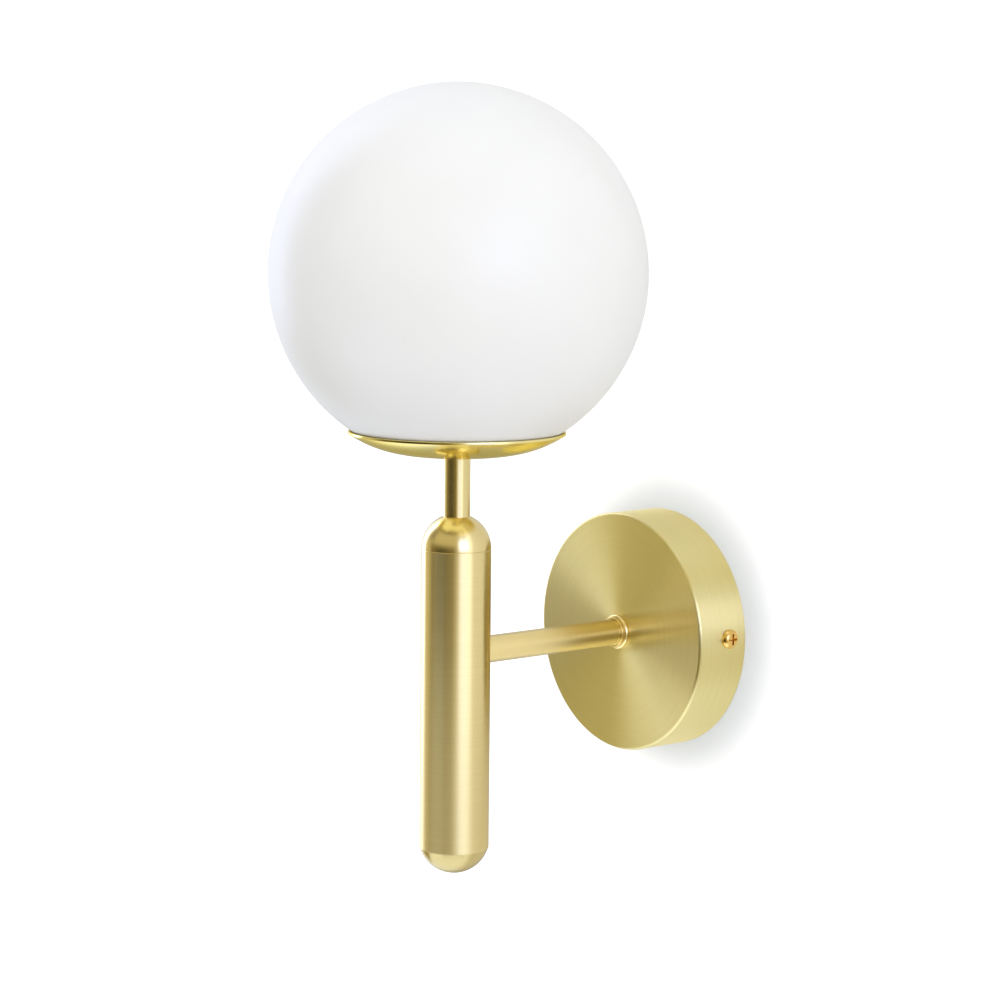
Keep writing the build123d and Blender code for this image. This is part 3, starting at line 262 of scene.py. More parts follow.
@dataclass(frozen=True)
class TurnedMetal(Finish):
    """Metal with fine brush lines round an axis, as a lathe leaves it."""

    axis: Axis
    centre: Triple
    anisotropy: float = 0.6
    line_width: float = 0.11 * MM
    line_length: float = 9 * MM
    line_depth: float = 0.0002 * MM
    contrast: float = 0.035
    edge_tint: Colour = (1.0, 1.0, 1.0)             # what a grazing look gives back
    worn_roughness: float | None = None             # where handling dulled it, at worn_range's low end
    worn_range: Point = (0.0, 1.0)

    def material(self) -> Material:
        """Returns the material: streaks in colour, roughness and relief, all round the axis."""
        material, graph, shader = self.start()
        ends = {0: self.place(graph), 1: self.centre}
        shift = graph.out("ShaderNodeVectorMath", ends, operation="SUBTRACT")
        x, y, z = graph.parts(shift)
        across, along = (y, z) if self.axis is Axis.UPRIGHT else (z, y)
        radius = graph.math("SQRT", graph.math("MULTIPLY_ADD", x, x, graph.math("MULTIPLY", across, across)))
        streaks = self.streaks(graph, radius, along, x, across, self.line_width, self.line_length)
        bands = self.streaks(graph, radius, along, x, across, BAND_WIDTH * self.line_width,
                             BAND_LENGTH * self.line_length)
        fine = graph.math("MULTIPLY", streaks, 1 - BAND_SHARE)
        mixed = graph.math("MULTIPLY_ADD", bands, BAND_SHARE, fine)
        light, dark = shaded(self.colour, 1 + self.contrast), shaded(self.colour, 1 - self.contrast)
        graph.put(shader.inputs["Base Color"], graph.blend(graph.ease(mixed, *NOISE_SPREAD), dark, light))
        change = self.roughness * self.contrast
        rough = graph.ease(mixed, *NOISE_SPREAD, self.roughness - change, self.roughness + change)
        if self.worn_roughness is not None:
            wear = graph.ease(along, *self.worn_range, self.worn_roughness - self.roughness, 0.0)
            rough = graph.math("ADD", rough, wear)
        graph.put(shader.inputs["Roughness"], rough)
        shader.inputs["Metallic"].default_value = 1.0
        shader.inputs["Specular Tint"].default_value = opaque(self.edge_tint)
        shader.inputs["Anisotropic"].default_value = self.anisotropy
        shader.inputs["Anisotropic Rotation"].default_value = QUARTER_TURN
        tangent = graph.out("ShaderNodeTangent", direction_type="RADIAL", axis=self.axis.value)
        graph.put(shader.inputs["Tangent"], tangent)
        self.bump(graph, shader, streaks, self.line_depth)
        return material

    def streaks(self, graph: Graph, radius: object, along: object, x: object, across: object,
                width: float, length: float) -> Socket:
        """Adds noise that is drawn out round the axis.

        Args:
            graph: The material's graph.
            radius: Distance from the axis.
            along: Distance along the axis.
            x: Position across the axis, to the right.
            across: Position across the axis, square to x.
            width: A streak's width in metres.
            length: A streak's length in metres.

        Returns:
            The noise, from 0 to 1.
        """
        fine = graph.vector(graph.math("DIVIDE", radius, width), graph.math("DIVIDE", along, width),
                            graph.math("DIVIDE", x, length))
        inputs = {"Vector": fine, "W": graph.math("DIVIDE", across, length), "Scale": 1.0, "Detail": 2.0}
        return graph.out("ShaderNodeTexNoise", inputs, noise_dimensions="4D")


@dataclass(frozen=True)
class PlatedMetal(Finish):
    """Stamped or machined metal with a soft grain and faint stains, for the fittings inside."""

    grain: float = 0.5 * MM
    relief: float = 0.003 * MM
    cloud_size: float = 14                          # in grains
    tones: Point = (0.88, 1.04)
    rough_range: Point = (0.8, 1.25)                # shares of the roughness

    def material(self) -> Material:
        """Returns the material: cloudy colour and roughness with a fine grain."""
        material, graph, shader = self.start()
        place = self.place(graph)
        cloud = graph.noise(place, 1 / (self.cloud_size * self.grain), 3.0)
        grain = graph.noise(place, 1 / self.grain, 3.0, 0.6)
        rough = tuple(self.roughness * share for share in self.rough_range)
        self.mottle(graph, shader, cloud, self.tones, grain, rough)
        shader.inputs["Metallic"].default_value = 1.0
        self.bump(graph, shader, grain, self.relief)
        return material


@dataclass(frozen=True)
class OpalGlass(Finish):
    """Satin white glass, cased and acid-etched."""

    grain: float = 0.35 * MM
    relief: float = 0.002 * MM
    cloud_size: float = 40 * MM
    tones: Point = (0.985, 1.0)
    tone_spread: Point = (0.35, 0.65)
    rough_change: float = 0.04
    milkiness: float = 0.5
    scatter: Triple = (4 * MM, 4 * MM, 4 * MM)

    def material(self) -> Material:
        """Returns the material: a milky body under a finely etched skin."""
        material, graph, shader = self.start()
        place = self.place(graph)
        cloud = graph.noise(place, 1 / self.cloud_size)
        etch = graph.noise(place, 1 / self.grain)
        rough = (self.roughness - self.rough_change, self.roughness + self.rough_change)
        self.mottle(graph, shader, cloud, self.tones, etch, rough, self.tone_spread)
        shader.inputs["Subsurface Weight"].default_value = self.milkiness
        shader.inputs["Subsurface Radius"].default_value = self.scatter
        self.bump(graph, shader, etch, self.relief)
        return material


@dataclass(frozen=True)
class Moulded(Finish):
    """Plastic, silicone or ceramic with a fine skin texture."""

    grain: float = 0.4 * MM
    relief: float = 0.006 * MM
    subsurface: float = 0.0
    coat: float = 0.0
    coat_roughness: float = 0.06
    mottle_size: float = 12                         # in grains
    tones: Point = (0.93, 1.02)
    rough_range: Point = (0.85, 1.15)               # shares of the roughness
    scatter: Triple = (1.5 * MM, 1.2 * MM, 1.0 * MM)

    def material(self) -> Material:
        """Returns the material: slight mottling, a pebbled skin and an optional glaze."""
        material, graph, shader = self.start()
        place = self.place(graph)
        cloud = graph.noise(place, 1 / (self.mottle_size * self.grain), 3.0)
        skin = graph.noise(place, 1 / self.grain)
        rough = tuple(self.roughness * share for share in self.rough_range)
        self.mottle(graph, shader, cloud, self.tones, skin, rough)
        shader.inputs["Subsurface Weight"].default_value = self.subsurface
        shader.inputs["Subsurface Radius"].default_value = self.scatter
        shader.inputs["Coat Weight"].default_value = self.coat
        shader.inputs["Coat Roughness"].default_value = self.coat_roughness
        self.bump(graph, shader, skin, self.relief)
        return material


@dataclass(frozen=True)
class ClearGlass(Finish):
    """Thin clear cover, a little wavy as drawn tube is."""

    refraction: float = 1.46
    wave_length: float = 3 * MM
    wave_height: float = 0.02 * MM

    def material(self) -> Material:
        """Returns the material: clear glass with slight waves."""
        material, graph, shader = self.start()
        shader.inputs["Transmission Weight"].default_value = 1.0
        shader.inputs["IOR"].default_value = self.refraction
        waves = graph.noise(self.place(graph), 1 / self.wave_length, 1.0)
        self.bump(graph, shader, waves, self.wave_height)
        return material


BODY_AXIS = (0.0, -112.3 * MM, 0.0)
WALL_AXIS = ZERO
OUT_OF_WALL = (math.radians(90), 0.0, 0.0)      # turns a piece's own axis from upwards to out of the wall
BRASS = (0.80, 0.66, 0.32)
PALE_BRASS = (0.85, 0.74, 0.345)
WARM_BRASS = (0.92, 0.75, 0.36)
# painted shade: a darker copy of the brass for the downward-facing lower dome
SHADED_BRASS = (0.60, 0.48, 0.20)
RAW_BRASS = (0.72, 0.54, 0.25)
ZINC = (0.62, 0.64, 0.67)


class Finishes:
    """Every finish of the lamp, made once and handed out by name."""

    def __init__(self) -> None:
        """Makes the materials."""
        recipes = [
            TurnedMetal("plate_brass", PALE_BRASS, 0.36, Axis.WALL, WALL_AXIS, anisotropy=0.95),
            TurnedMetal("tube_brass", BRASS, 0.29, Axis.UPRIGHT, BODY_AXIS, anisotropy=0.85,
                        worn_roughness=0.50, worn_range=(-80 * MM, 40 * MM)),
            TurnedMetal("dome_brass", BRASS, 0.24, Axis.UPRIGHT, BODY_AXIS, anisotropy=0.6, contrast=0.02),
            # the lower dome's brass is darkened as painted shade
            TurnedMetal("shaded_foot_brass", SHADED_BRASS, 0.27, Axis.UPRIGHT, BODY_AXIS, anisotropy=0.6,
                        contrast=0.02),
            TurnedMetal("dish_brass", PALE_BRASS, 0.16, Axis.UPRIGHT, BODY_AXIS, anisotropy=0.5,
                        contrast=0.02, edge_tint=(0.92, 0.80, 0.40)),
            TurnedMetal("arm_brass", WARM_BRASS, 0.22, Axis.WALL, WALL_AXIS, anisotropy=0.8, contrast=0.02),
            PlatedMetal("screw_brass", (0.88, 0.58, 0.18), 0.13, grain=0.3 * MM, relief=0.0006 * MM),
            PlatedMetal("raw_brass", RAW_BRASS, 0.30),
            PlatedMetal("zinc_steel", ZINC, 0.34),
            PlatedMetal("tinned_copper", (0.74, 0.72, 0.68), 0.24),
            PlatedMetal("spring_steel", (0.56, 0.57, 0.60), 0.26),
            OpalGlass("opal_glass", (0.92, 0.92, 0.915), 0.42),
            Moulded("silicone", (0.80, 0.80, 0.77), 0.55, subsurface=0.2),
            Moulded("lampholder_ceramic", (0.86, 0.84, 0.78), 0.32, coat=0.5, relief=0.01 * MM),
            Moulded("bulb_white", (0.84, 0.84, 0.83), 0.30),
            Moulded("bulb_ceramic", (0.82, 0.82, 0.80), 0.60),
            Moulded("chip_yellow", (0.86, 0.58, 0.08), 0.38, grain=0.15 * MM, subsurface=0.15),
            ClearGlass("bulb_clear", (0.98, 0.99, 1.0), 0.03),
            Moulded("block_nylon", (0.82, 0.80, 0.72), 0.42, subsurface=0.1),
            Moulded("bush_nylon", (0.78, 0.78, 0.76), 0.40, subsurface=0.2),
            Moulded("live_insulation", (0.16, 0.06, 0.025), 0.36),
            Moulded("neutral_insulation", (0.02, 0.07, 0.36), 0.36),
            Moulded("earth_insulation", (0.10, 0.32, 0.05), 0.36),
        ]
        self.made = {recipe.name: recipe.material() for recipe in recipes}

    def __getitem__(self, name: str) -> Material:
        """Returns a material by its finish's name."""
        return self.made[name]

    def dress(self, finish: str, *nodes: str) -> None:
        """Gives CAD nodes, which keep their shape, a finish."""
        for node in nodes:
            for slot in frame["nodes"][node].material_slots:
                slot.material = self.made[finish]
            log.info("dressed %s with %s", node, finish)


# --- Outlines ------------------------------------------------------------------------------------
@dataclass
class Outline:
    """Closed outline of (radius, height) corners, which is turned about an axis."""

    corners: list[Triple] = field(default_factory=list)

    def to(self, radius: float, height: float, rounding: float = 0.0) -> Outline:
        """Adds a corner, rounded if asked, and returns the outline."""
        self.corners.append((radius, height, rounding))
        return self

    def arc(self, centre: Point, radius: float, start: float, end: float, steps: int) -> Outline:
        """Adds an arc.

        Args:
            centre: The arc's centre as (radius, height).
            radius: The arc's own radius.
            start: Angle in radians of its first point, from the radius direction.
            end: Angle in radians of its last point.
            steps: The number of segments.

        Returns:
            The outline.
        """
        for step in range(steps + 1):
            angle = start + (end - start) * step / steps
            self.to(max(0.0, centre[0] + radius * math.cos(angle)), centre[1] + radius * math.sin(angle))
        return self

    def points(self, steps: int = 6, support: float = 0.15 * MM) -> list[Vector]:
        """Works out the outline's points.

        Args:
            steps: Segments of each rounded corner.
            support: Distance of the extra point on each side of a rounded corner.

        Returns:
            The points, each corner with its rounding.
        """
        found = []
        for index, (radius, height, rounding) in enumerate(self.corners):
            corner = Vector((radius, height))
            if rounding == 0.0:
                found.append(corner)
                continue
            before = (Vector(self.corners[index - 1][:2]) - corner).normalized()
            after = (Vector(self.corners[(index + 1) % len(self.corners)][:2]) - corner).normalized()
            half_angle = before.angle(after) / 2
            tangent = rounding / math.tan(half_angle)
            centre = corner + (before + after).normalized() * rounding / math.sin(half_angle)
            first, last = corner + before * tangent - centre, corner + after * tangent - centre
            found.append(centre + first + before * support)
            turns = (first.slerp(last, step / steps) for step in range(steps + 1))
            found += [centre + turn.normalized() * rounding for turn in turns]
            found.append(centre + last + after * support)
        return found


# --- Geometry trees ------------------------------------------------------------------------------
class TurningLathe:
    """Geometry tree that turns an outline about an axis and gives it its finish."""

    SOCKETS = {"Outline": "Geometry", "Steps": "Int", "Crease": "Float", "Place": "Vector", "Turn": "Vector",
               "Finish": "Material"}

    def __init__(self) -> None:
        """Builds the tree."""
        self.tree, self.ids = new_tree("turned_piece", self.SOCKETS)
        graph = Graph(self.tree)
        given = graph.add("NodeGroupInput").outputs
        x, _, z = graph.parts(graph.out("GeometryNodeInputPosition"))
        flat = graph.vector(graph.math("SUBTRACT", x, GUIDE_RADIUS), graph.math("MULTIPLY", z, -1.0), 0.0)
        laid = graph.out("GeometryNodeSetPosition", {"Geometry": given["Outline"], "Position": flat})
        outline = graph.out("GeometryNodeMeshToCurve", {0: laid})
        inputs = {"Resolution": given["Steps"], "Radius": GUIDE_RADIUS}
        circle = graph.out("GeometryNodeCurvePrimitiveCircle", inputs)
        level = graph.out("GeometryNodeSetCurveNormal", {"Curve": circle}, mode="Z_UP")
        swept = graph.out("GeometryNodeCurveToMesh", {"Curve": level, "Profile Curve": outline})
        merged = graph.out("GeometryNodeMergeByDistance", {"Geometry": swept, "Distance": POLE_MERGE})
        end_tree(graph, graph.crisp(merged, given["Crease"]), given)

    def turn(self, name: str, outline: Outline, axis: Axis, finish: Material, steps: int) -> Object:
        """Turns an outline into a piece.

        Args:
            name: The piece's name.
            outline: Its closed outline; heights run along the axis, out of the wall on the wall's axis.
            axis: The axis it is turned about.
            finish: Its material.
            steps: Segments round the axis.

        Returns:
            The piece, a plain mesh with its place in the mesh.
        """
        points = outline.points()
        edges = [(index, (index + 1) % len(points)) for index in range(len(points))]
        mesh = bpy.data.meshes.new(f"{name}_outline")
        mesh.from_pydata([(point.x, 0.0, point.y) for point in points], edges, [])
        places = {Axis.UPRIGHT: BODY_AXIS, Axis.WALL: WALL_AXIS, Axis.LOOSE: ZERO}
        values = {"Steps": steps, "Crease": CREASE, "Place": places[axis],
                  "Turn": OUT_OF_WALL if axis is Axis.WALL else ZERO, "Finish": finish}
        return worked(linked(f"{name}_outline", mesh), self.tree, self.ids, values, name)


@dataclass(frozen=True)
class Layout:
    """Where copies stand: evenly round an axis, in rows along it, with one more on top if asked."""

    count: int
    radius: float
    place: Triple               # the axis's foot, in the lamp's frame
    first_angle: float = 0.0
    tilt: float = 0.0                               # of each copy, outwards from the axis
    turn: Triple = ZERO                             # of the whole set
    rows: int = 1
    row_step: Triple = ZERO
    top_rise: float | None = None                   # height of the one on top


@dataclass(frozen=True)
class Recess:
    """Driver recess of a screw, cut down from its top by one bar or two crossed ones."""

    top: float
    depth: float
    length: float
    width: float
    crossed: bool = True

    @property
    def bars(self) -> tuple[Triple, Triple]:
        """Sizes of the two bars, which straddle the screw's top."""
        along, across = (self.length, self.width, 2 * self.depth), (self.width, self.length, 2 * self.depth)
        return along, across if self.crossed else along


class CopyRing:
    """Geometry tree that cuts a recess in one piece and repeats it round an axis and in rows."""

    SOCKETS = {"Copy": "Geometry", "Count": "Int", "Rows": "Int", "Row Step": "Vector", "Radius": "Float",
               "First Angle": "Float", "Tilt": "Float", "On Top": "Int", "Top Rise": "Float",
               "Recessed": "Bool", "First Bar": "Vector", "Second Bar": "Vector", "Bar Height": "Float",
               "Crease": "Float", "Place": "Vector", "Turn": "Vector", "Finish": "Material"}

    def __init__(self) -> None:
        """Builds the tree."""
        self.tree, self.ids = new_tree("ring_of_copies", self.SOCKETS)
        graph = Graph(self.tree)
        given = graph.add("NodeGroupInput").outputs
        edged = graph.crisp(self.cut(graph, given), given["Crease"])
        ringed = graph.math("MULTIPLY", given["Count"], given["Rows"])
        points = graph.out("GeometryNodePoints", {"Count": graph.math("ADD", ringed, given["On Top"])})
        index = graph.out("GeometryNodeInputIndex")
        in_ring = graph.math("LESS_THAN", index, graph.math("SUBTRACT", ringed, 0.5))
        on_top = graph.math("SUBTRACT", 1.0, in_ring)
        row = graph.math("FLOOR", graph.math("DIVIDE", graph.math("ADD", index, 0.5), given["Count"]))
        in_row = graph.math("SUBTRACT", index, graph.math("MULTIPLY", row, given["Count"]))
        share = graph.math("DIVIDE", in_row, given["Count"])
        angle = graph.math("MULTIPLY_ADD", share, 2 * math.pi, given["First Angle"])
        ring = graph.vector(*(graph.math("MULTIPLY", graph.math(wave, angle), given["Radius"])
                              for wave in ("COSINE", "SINE")), 0.0)
        step = graph.out("ShaderNodeVectorMath", {0: given["Row Step"], "Scale": row}, operation="SCALE")
        beside = graph.out("ShaderNodeVectorMath", {0: ring, 1: step}, operation="ADD")
        above = graph.vector(0.0, 0.0, given["Top Rise"])
        spot = graph.add("ShaderNodeMix", {0: on_top, 4: beside, 5: above}, data_type="VECTOR").outputs[1]
        lean = graph.math("MULTIPLY_ADD", on_top, -math.pi / 2, given["Tilt"])
        facing = graph.out("FunctionNodeEulerToRotation", {0: graph.vector(0.0, lean, angle)})
        moved = graph.out("GeometryNodeSetPosition", {"Geometry": points, "Position": spot})
        inputs = {"Points": moved, "Instance": edged, "Rotation": facing}
        end_tree(graph, graph.out("GeometryNodeInstanceOnPoints", inputs), given)

    def cut(self, graph: Graph, given: object) -> Socket:
        """Cuts the recess.

        Args:
            graph: The tree's graph.
            given: The tree's inputs.

        Returns:
            The piece to copy, with its recess if it has one.
        """
        raised = graph.vector(0.0, 0.0, given["Bar Height"])
        trimmed = graph.add("GeometryNodeMeshBoolean", {"Mesh 1": given["Copy"]}, operation="DIFFERENCE",
                            solver="EXACT")
        for size in ("First Bar", "Second Bar"):
            bar = graph.out("GeometryNodeMeshCube", {"Size": given[size]})
            placed = graph.out("GeometryNodeTransform", {"Geometry": bar, "Translation": raised})
            graph.put(trimmed.inputs["Mesh 2"], placed)
        inputs = {"Switch": given["Recessed"], "False": given["Copy"], "True": trimmed.outputs[0]}
        return graph.out("GeometryNodeSwitch", inputs, input_type="GEOMETRY")

    def repeat(self, name: str, copy: Object, layout: Layout, finish: Material,
               recess: Recess | None = None) -> Object:
        """Repeats a piece.

        Args:
            name: The set's name.
            copy: The piece to repeat, at the origin with its own axis upright; it is used up.
            layout: Where the copies stand.
            finish: Their material.
            recess: The driver recess of each, if it has one.

        Returns:
            The set, a plain mesh with its place in the mesh.
        """
        bars = recess.bars if recess else (ZERO, ZERO)
        values = {"Count": layout.count, "Rows": layout.rows, "Row Step": layout.row_step,
                  "Radius": layout.radius, "First Angle": layout.first_angle, "Tilt": layout.tilt,
                  "On Top": int(layout.top_rise is not None), "Top Rise": layout.top_rise or 0.0,
                  "Recessed": recess is not None, "First Bar": bars[0], "Second Bar": bars[1],
                  "Bar Height": recess.top if recess else 0.0, "Crease": CREASE,
                  "Place": layout.place, "Turn": layout.turn, "Finish": finish}
        return worked(copy, self.tree, self.ids, values, name)


def new_tree(name: str, sockets: dict[str, str]) -> tuple[bpy.types.NodeTree, dict[str, str]]:
    """Makes a geometry tree with its inputs.

    Args:
        name: The tree's name.
        sockets: Name and kind of each input.

    Returns:
        The tree, and each input's identifier by name.
    """
    tree = bpy.data.node_groups.new(name, "GeometryNodeTree")
    made = {socket: tree.interface.new_socket(socket, in_out="INPUT", socket_type=f"NodeSocket{kind}")
            for socket, kind in sockets.items()}
    tree.interface.new_socket("Piece", in_out="OUTPUT", socket_type="NodeSocketGeometry")
    return tree, {socket: item.identifier for socket, item in made.items()}


def end_tree(graph: Graph, shape: Socket, given: object) -> None:
    """Ends a geometry tree: stands the shape in its place and gives it its finish.

    Args:
        graph: The tree's graph.
        shape: The shape so far, about its own axis.
        given: The tree's inputs, which hold the place, the turn and the finish.
    """
    turn = graph.out("FunctionNodeEulerToRotation", {0: given["Turn"]})
    inputs = {"Geometry": shape, "Translation": given["Place"], "Rotation": turn}
    real = graph.out("GeometryNodeRealizeInstances", {0: graph.out("GeometryNodeTransform", inputs)})
    dressed = graph.out("GeometryNodeSetMaterial", {"Geometry": real, "Material": given["Finish"]})
    graph.add("NodeGroupOutput", {0: dressed})


def worked(holder: Object, tree: bpy.types.NodeTree, ids: dict[str, str], values: dict[str, object],
           name: str) -> Object:
    """Runs a geometry tree on an object and keeps the result as a plain mesh.

    Args:
        holder: The object whose mesh goes in; it is used up.
        tree: The geometry tree.
        ids: Each input's identifier by name.
        values: Each input's value by name.
        name: The finished piece's name.

    Returns:
        The piece at the origin, its faces pointing outwards.
    """
    modifier = holder.modifiers.new("worked", "NODES")
    modifier.node_group = tree
    for socket, value in values.items():
        modifier[ids[socket]] = value
    evaluated = holder.evaluated_get(bpy.context.evaluated_depsgraph_get())
    mesh = bpy.data.meshes.new_from_object(evaluated)
    mesh.name = name
    bpy.data.objects.remove(holder)
    shape = bmesh.new()
    shape.from_mesh(mesh)
    bmesh.ops.delete(shape, geom=[edge for edge in shape.edges if not edge.link_faces], context="EDGES")
    bmesh.ops.recalc_face_normals(shape, faces=shape.faces)
    shape.to_mesh(mesh)
    shape.free()
    return linked(name, mesh)


def keep(piece: Object, body: str, slot: str, *nodes: str) -> None:
    """Makes a piece part of the lamp.

    Args:
        piece: The finished piece.
        body: The body that it rides on.
        slot: The record's material slot; not used.
        nodes: The CAD nodes that it stands for.
    """
    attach(piece, body)
    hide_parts(*nodes)
    log.info("built %s: %d faces on %s", piece.name, len(piece.data.polygons), body)


@dataclass(frozen=True)
class PanScrew:
    """Screw with a domed head and a cross recess, its head standing on the origin."""

    radius: float
    length: float
    head_radius: float
    head_height: float
    tip_bevel: float = 0.2                          # share of the radius
    recess_depth: float = 0.62                      # share of the head's height
    recess_length: float = 1.15                     # shares of the head's radius
    recess_width: float = 0.24

    def outline(self) -> Outline:
        """Returns the screw's outline, from its tip to its crown."""
        bevel = self.tip_bevel * self.radius
        outline = Outline().to(0.0, -self.length).to(self.radius - bevel, -self.length)
        outline.to(self.radius, bevel - self.length).to(self.radius, 0.0)
        return domed(outline, self.head_radius, 0.0, self.head_height)

    def recess(self) -> Recess:
        """Returns the cross recess of its head."""
        return Recess(self.head_height, self.recess_depth * self.head_height,
                      self.recess_length * self.head_radius, self.recess_width * self.head_radius)


def domed(outline: Outline, radius: float, seat: float, height: float) -> Outline:
    """Adds a domed head to an outline: a straight brim, a round shoulder and a flat crown.

    Args:
        outline: The outline so far, which has reached the head's underside.
        radius: The head's radius.
        seat: Height of its underside.
        height: The head's own height.

    Returns:
        The outline, closed on the axis.
    """
    across, drop = CROWN_REACH * radius, CROWN_DROP * height
    curve = (across**2 + drop**2) / (2 * drop)
    end = math.atan2(curve - drop, across)
    outline.to(radius, seat)
    outline.arc(((1 - CROWN_REACH) * radius, seat + height - curve), curve, end, math.pi / 2, CROWN_STEPS)
    return outline.to(0.0, seat + height)


def small_block(name: str, size: Triple, bevel: float) -> Object:
    """Makes a block with bevelled edges round the origin.

    Args:
        name: The block's name.
        size: Its length, width and height.
        bevel: Width of its bevels.

    Returns:
        The block.
    """
    shape = bmesh.new()
    bmesh.ops.create_cube(shape, size=1.0, matrix=Matrix.Diagonal((*size, 1.0)))
    bmesh.ops.bevel(shape, geom=shape.edges[:], offset=bevel, segments=2, affect="EDGES", profile=0.5)
    mesh = bpy.data.meshes.new(name)
    shape.to_mesh(mesh)
    shape.free()
    return linked(name, mesh)


# --- Sub-assemblies ------------------------------------------------------------------------------
@dataclass
class WallPlate:
    """Spun cup on the wall, its bracket and the screws that hold it."""

    radius: float = 50 * MM
    depth: float = 25 * MM
    sheet: float = 1.2 * MM
    edge_radius: float = 1.2 * MM
    rim_rounding: float = 0.15 * MM
    bore: float = 5.05 * MM
    steps: int = 256
    screw_steps: int = 48
    clamp_steps: int = 32
    screw: PanScrew = PanScrew(2.0 * MM, 9.0 * MM, 3.95 * MM, 2.5 * MM)
    screw_setback: float = 9.1 * MM
    screw_rise: float = 2.3 * MM
    clamp_tip: float = 8.3 * MM
    clamp_neck: float = 10.5 * MM
    clamp_top: float = 11.7 * MM
    clamp_radius: float = 1.3 * MM
    clamp_head_radius: float = 1.55 * MM
    clamp_rounding: float = 0.1 * MM
    clamp_slot: Point = (0.8 * MM, 0.5 * MM)        # depth and width
    clamp_spacing: float = 8.4 * MM
    poles: int = 3
    pole_pitch: float = 8.0 * MM
    block_drop: float = 28.0 * MM

    def build(self, lathe: TurningLathe, copies: CopyRing, finishes: Finishes) -> None:
        """Builds the cup and the screws and dresses the bracket and its block."""
        inner = self.radius - self.sheet
        cup = Outline().to(self.bore, self.depth).to(self.radius, self.depth, self.edge_radius)
        cup.to(self.radius, 0.0, self.rim_rounding).to(inner, 0.0, self.rim_rounding)
        cup.to(inner, self.depth - self.sheet, self.sheet).to(self.bore, self.depth - self.sheet)
        piece = lathe.turn("plate_cup", cup, Axis.WALL, finishes["plate_brass"], self.steps)
        keep(piece, "root", "brushed_brass", "wall_plate")
        self.side_screws(lathe, copies, finishes)
        self.clamp_screws(lathe, copies, finishes)
        finishes.dress("zinc_steel", "wall_bracket", "terminal_fixing_screw", "earth_screw", "earth_washer",
                       "plate_washer")
        finishes.dress("block_nylon", "terminal_block")
        finishes.dress("raw_brass", "terminal_inserts", "plate_nut")
        finishes.dress("tinned_copper", "earth_lug")

    def side_screws(self, lathe: TurningLathe, copies: CopyRing, finishes: Finishes) -> None:
        """Builds the two screws that hold the cup on the bracket's tabs."""
        one = lathe.turn("side_screw", self.screw.outline(), Axis.LOOSE, finishes["screw_brass"],
                         self.screw_steps)
        layout = Layout(2, self.radius, (0.0, -self.screw_setback, self.screw_rise), tilt=math.radians(90))
        screws = copies.repeat("side_screw_pair", one, layout, finishes["screw_brass"], self.screw.recess())
        keep(screws, "root", "screw_brass", "side_screws")

    def clamp_screws(self, lathe: TurningLathe, copies: CopyRing, finishes: Finishes) -> None:
        """Builds the slotted screws of the terminal block, two for each of its three poles."""
        outline = Outline().to(0.0, self.clamp_tip).to(self.clamp_radius, self.clamp_tip)
        outline.to(self.clamp_radius, self.clamp_neck).to(self.clamp_head_radius, self.clamp_neck)
        outline.to(self.clamp_head_radius, self.clamp_top, self.clamp_rounding).to(0.0, self.clamp_top)
        zinc = finishes["zinc_steel"]
        one = lathe.turn("clamp_screw", outline, Axis.LOOSE, zinc, self.clamp_steps)
        depth, width = self.clamp_slot
        slot = Recess(self.clamp_top, depth, width, 3 * self.clamp_head_radius, crossed=False)
        layout = Layout(2, self.clamp_spacing / 2, (-self.pole_pitch, 0.0, -self.block_drop),
                        first_angle=math.radians(90), turn=OUT_OF_WALL, rows=self.poles,
                        row_step=(self.pole_pitch, 0.0, 0.0))
        screws = copies.repeat("clamp_screw_set", one, layout, zinc, slot)
        keep(screws, "root", "zinc_steel", "terminal_screws")


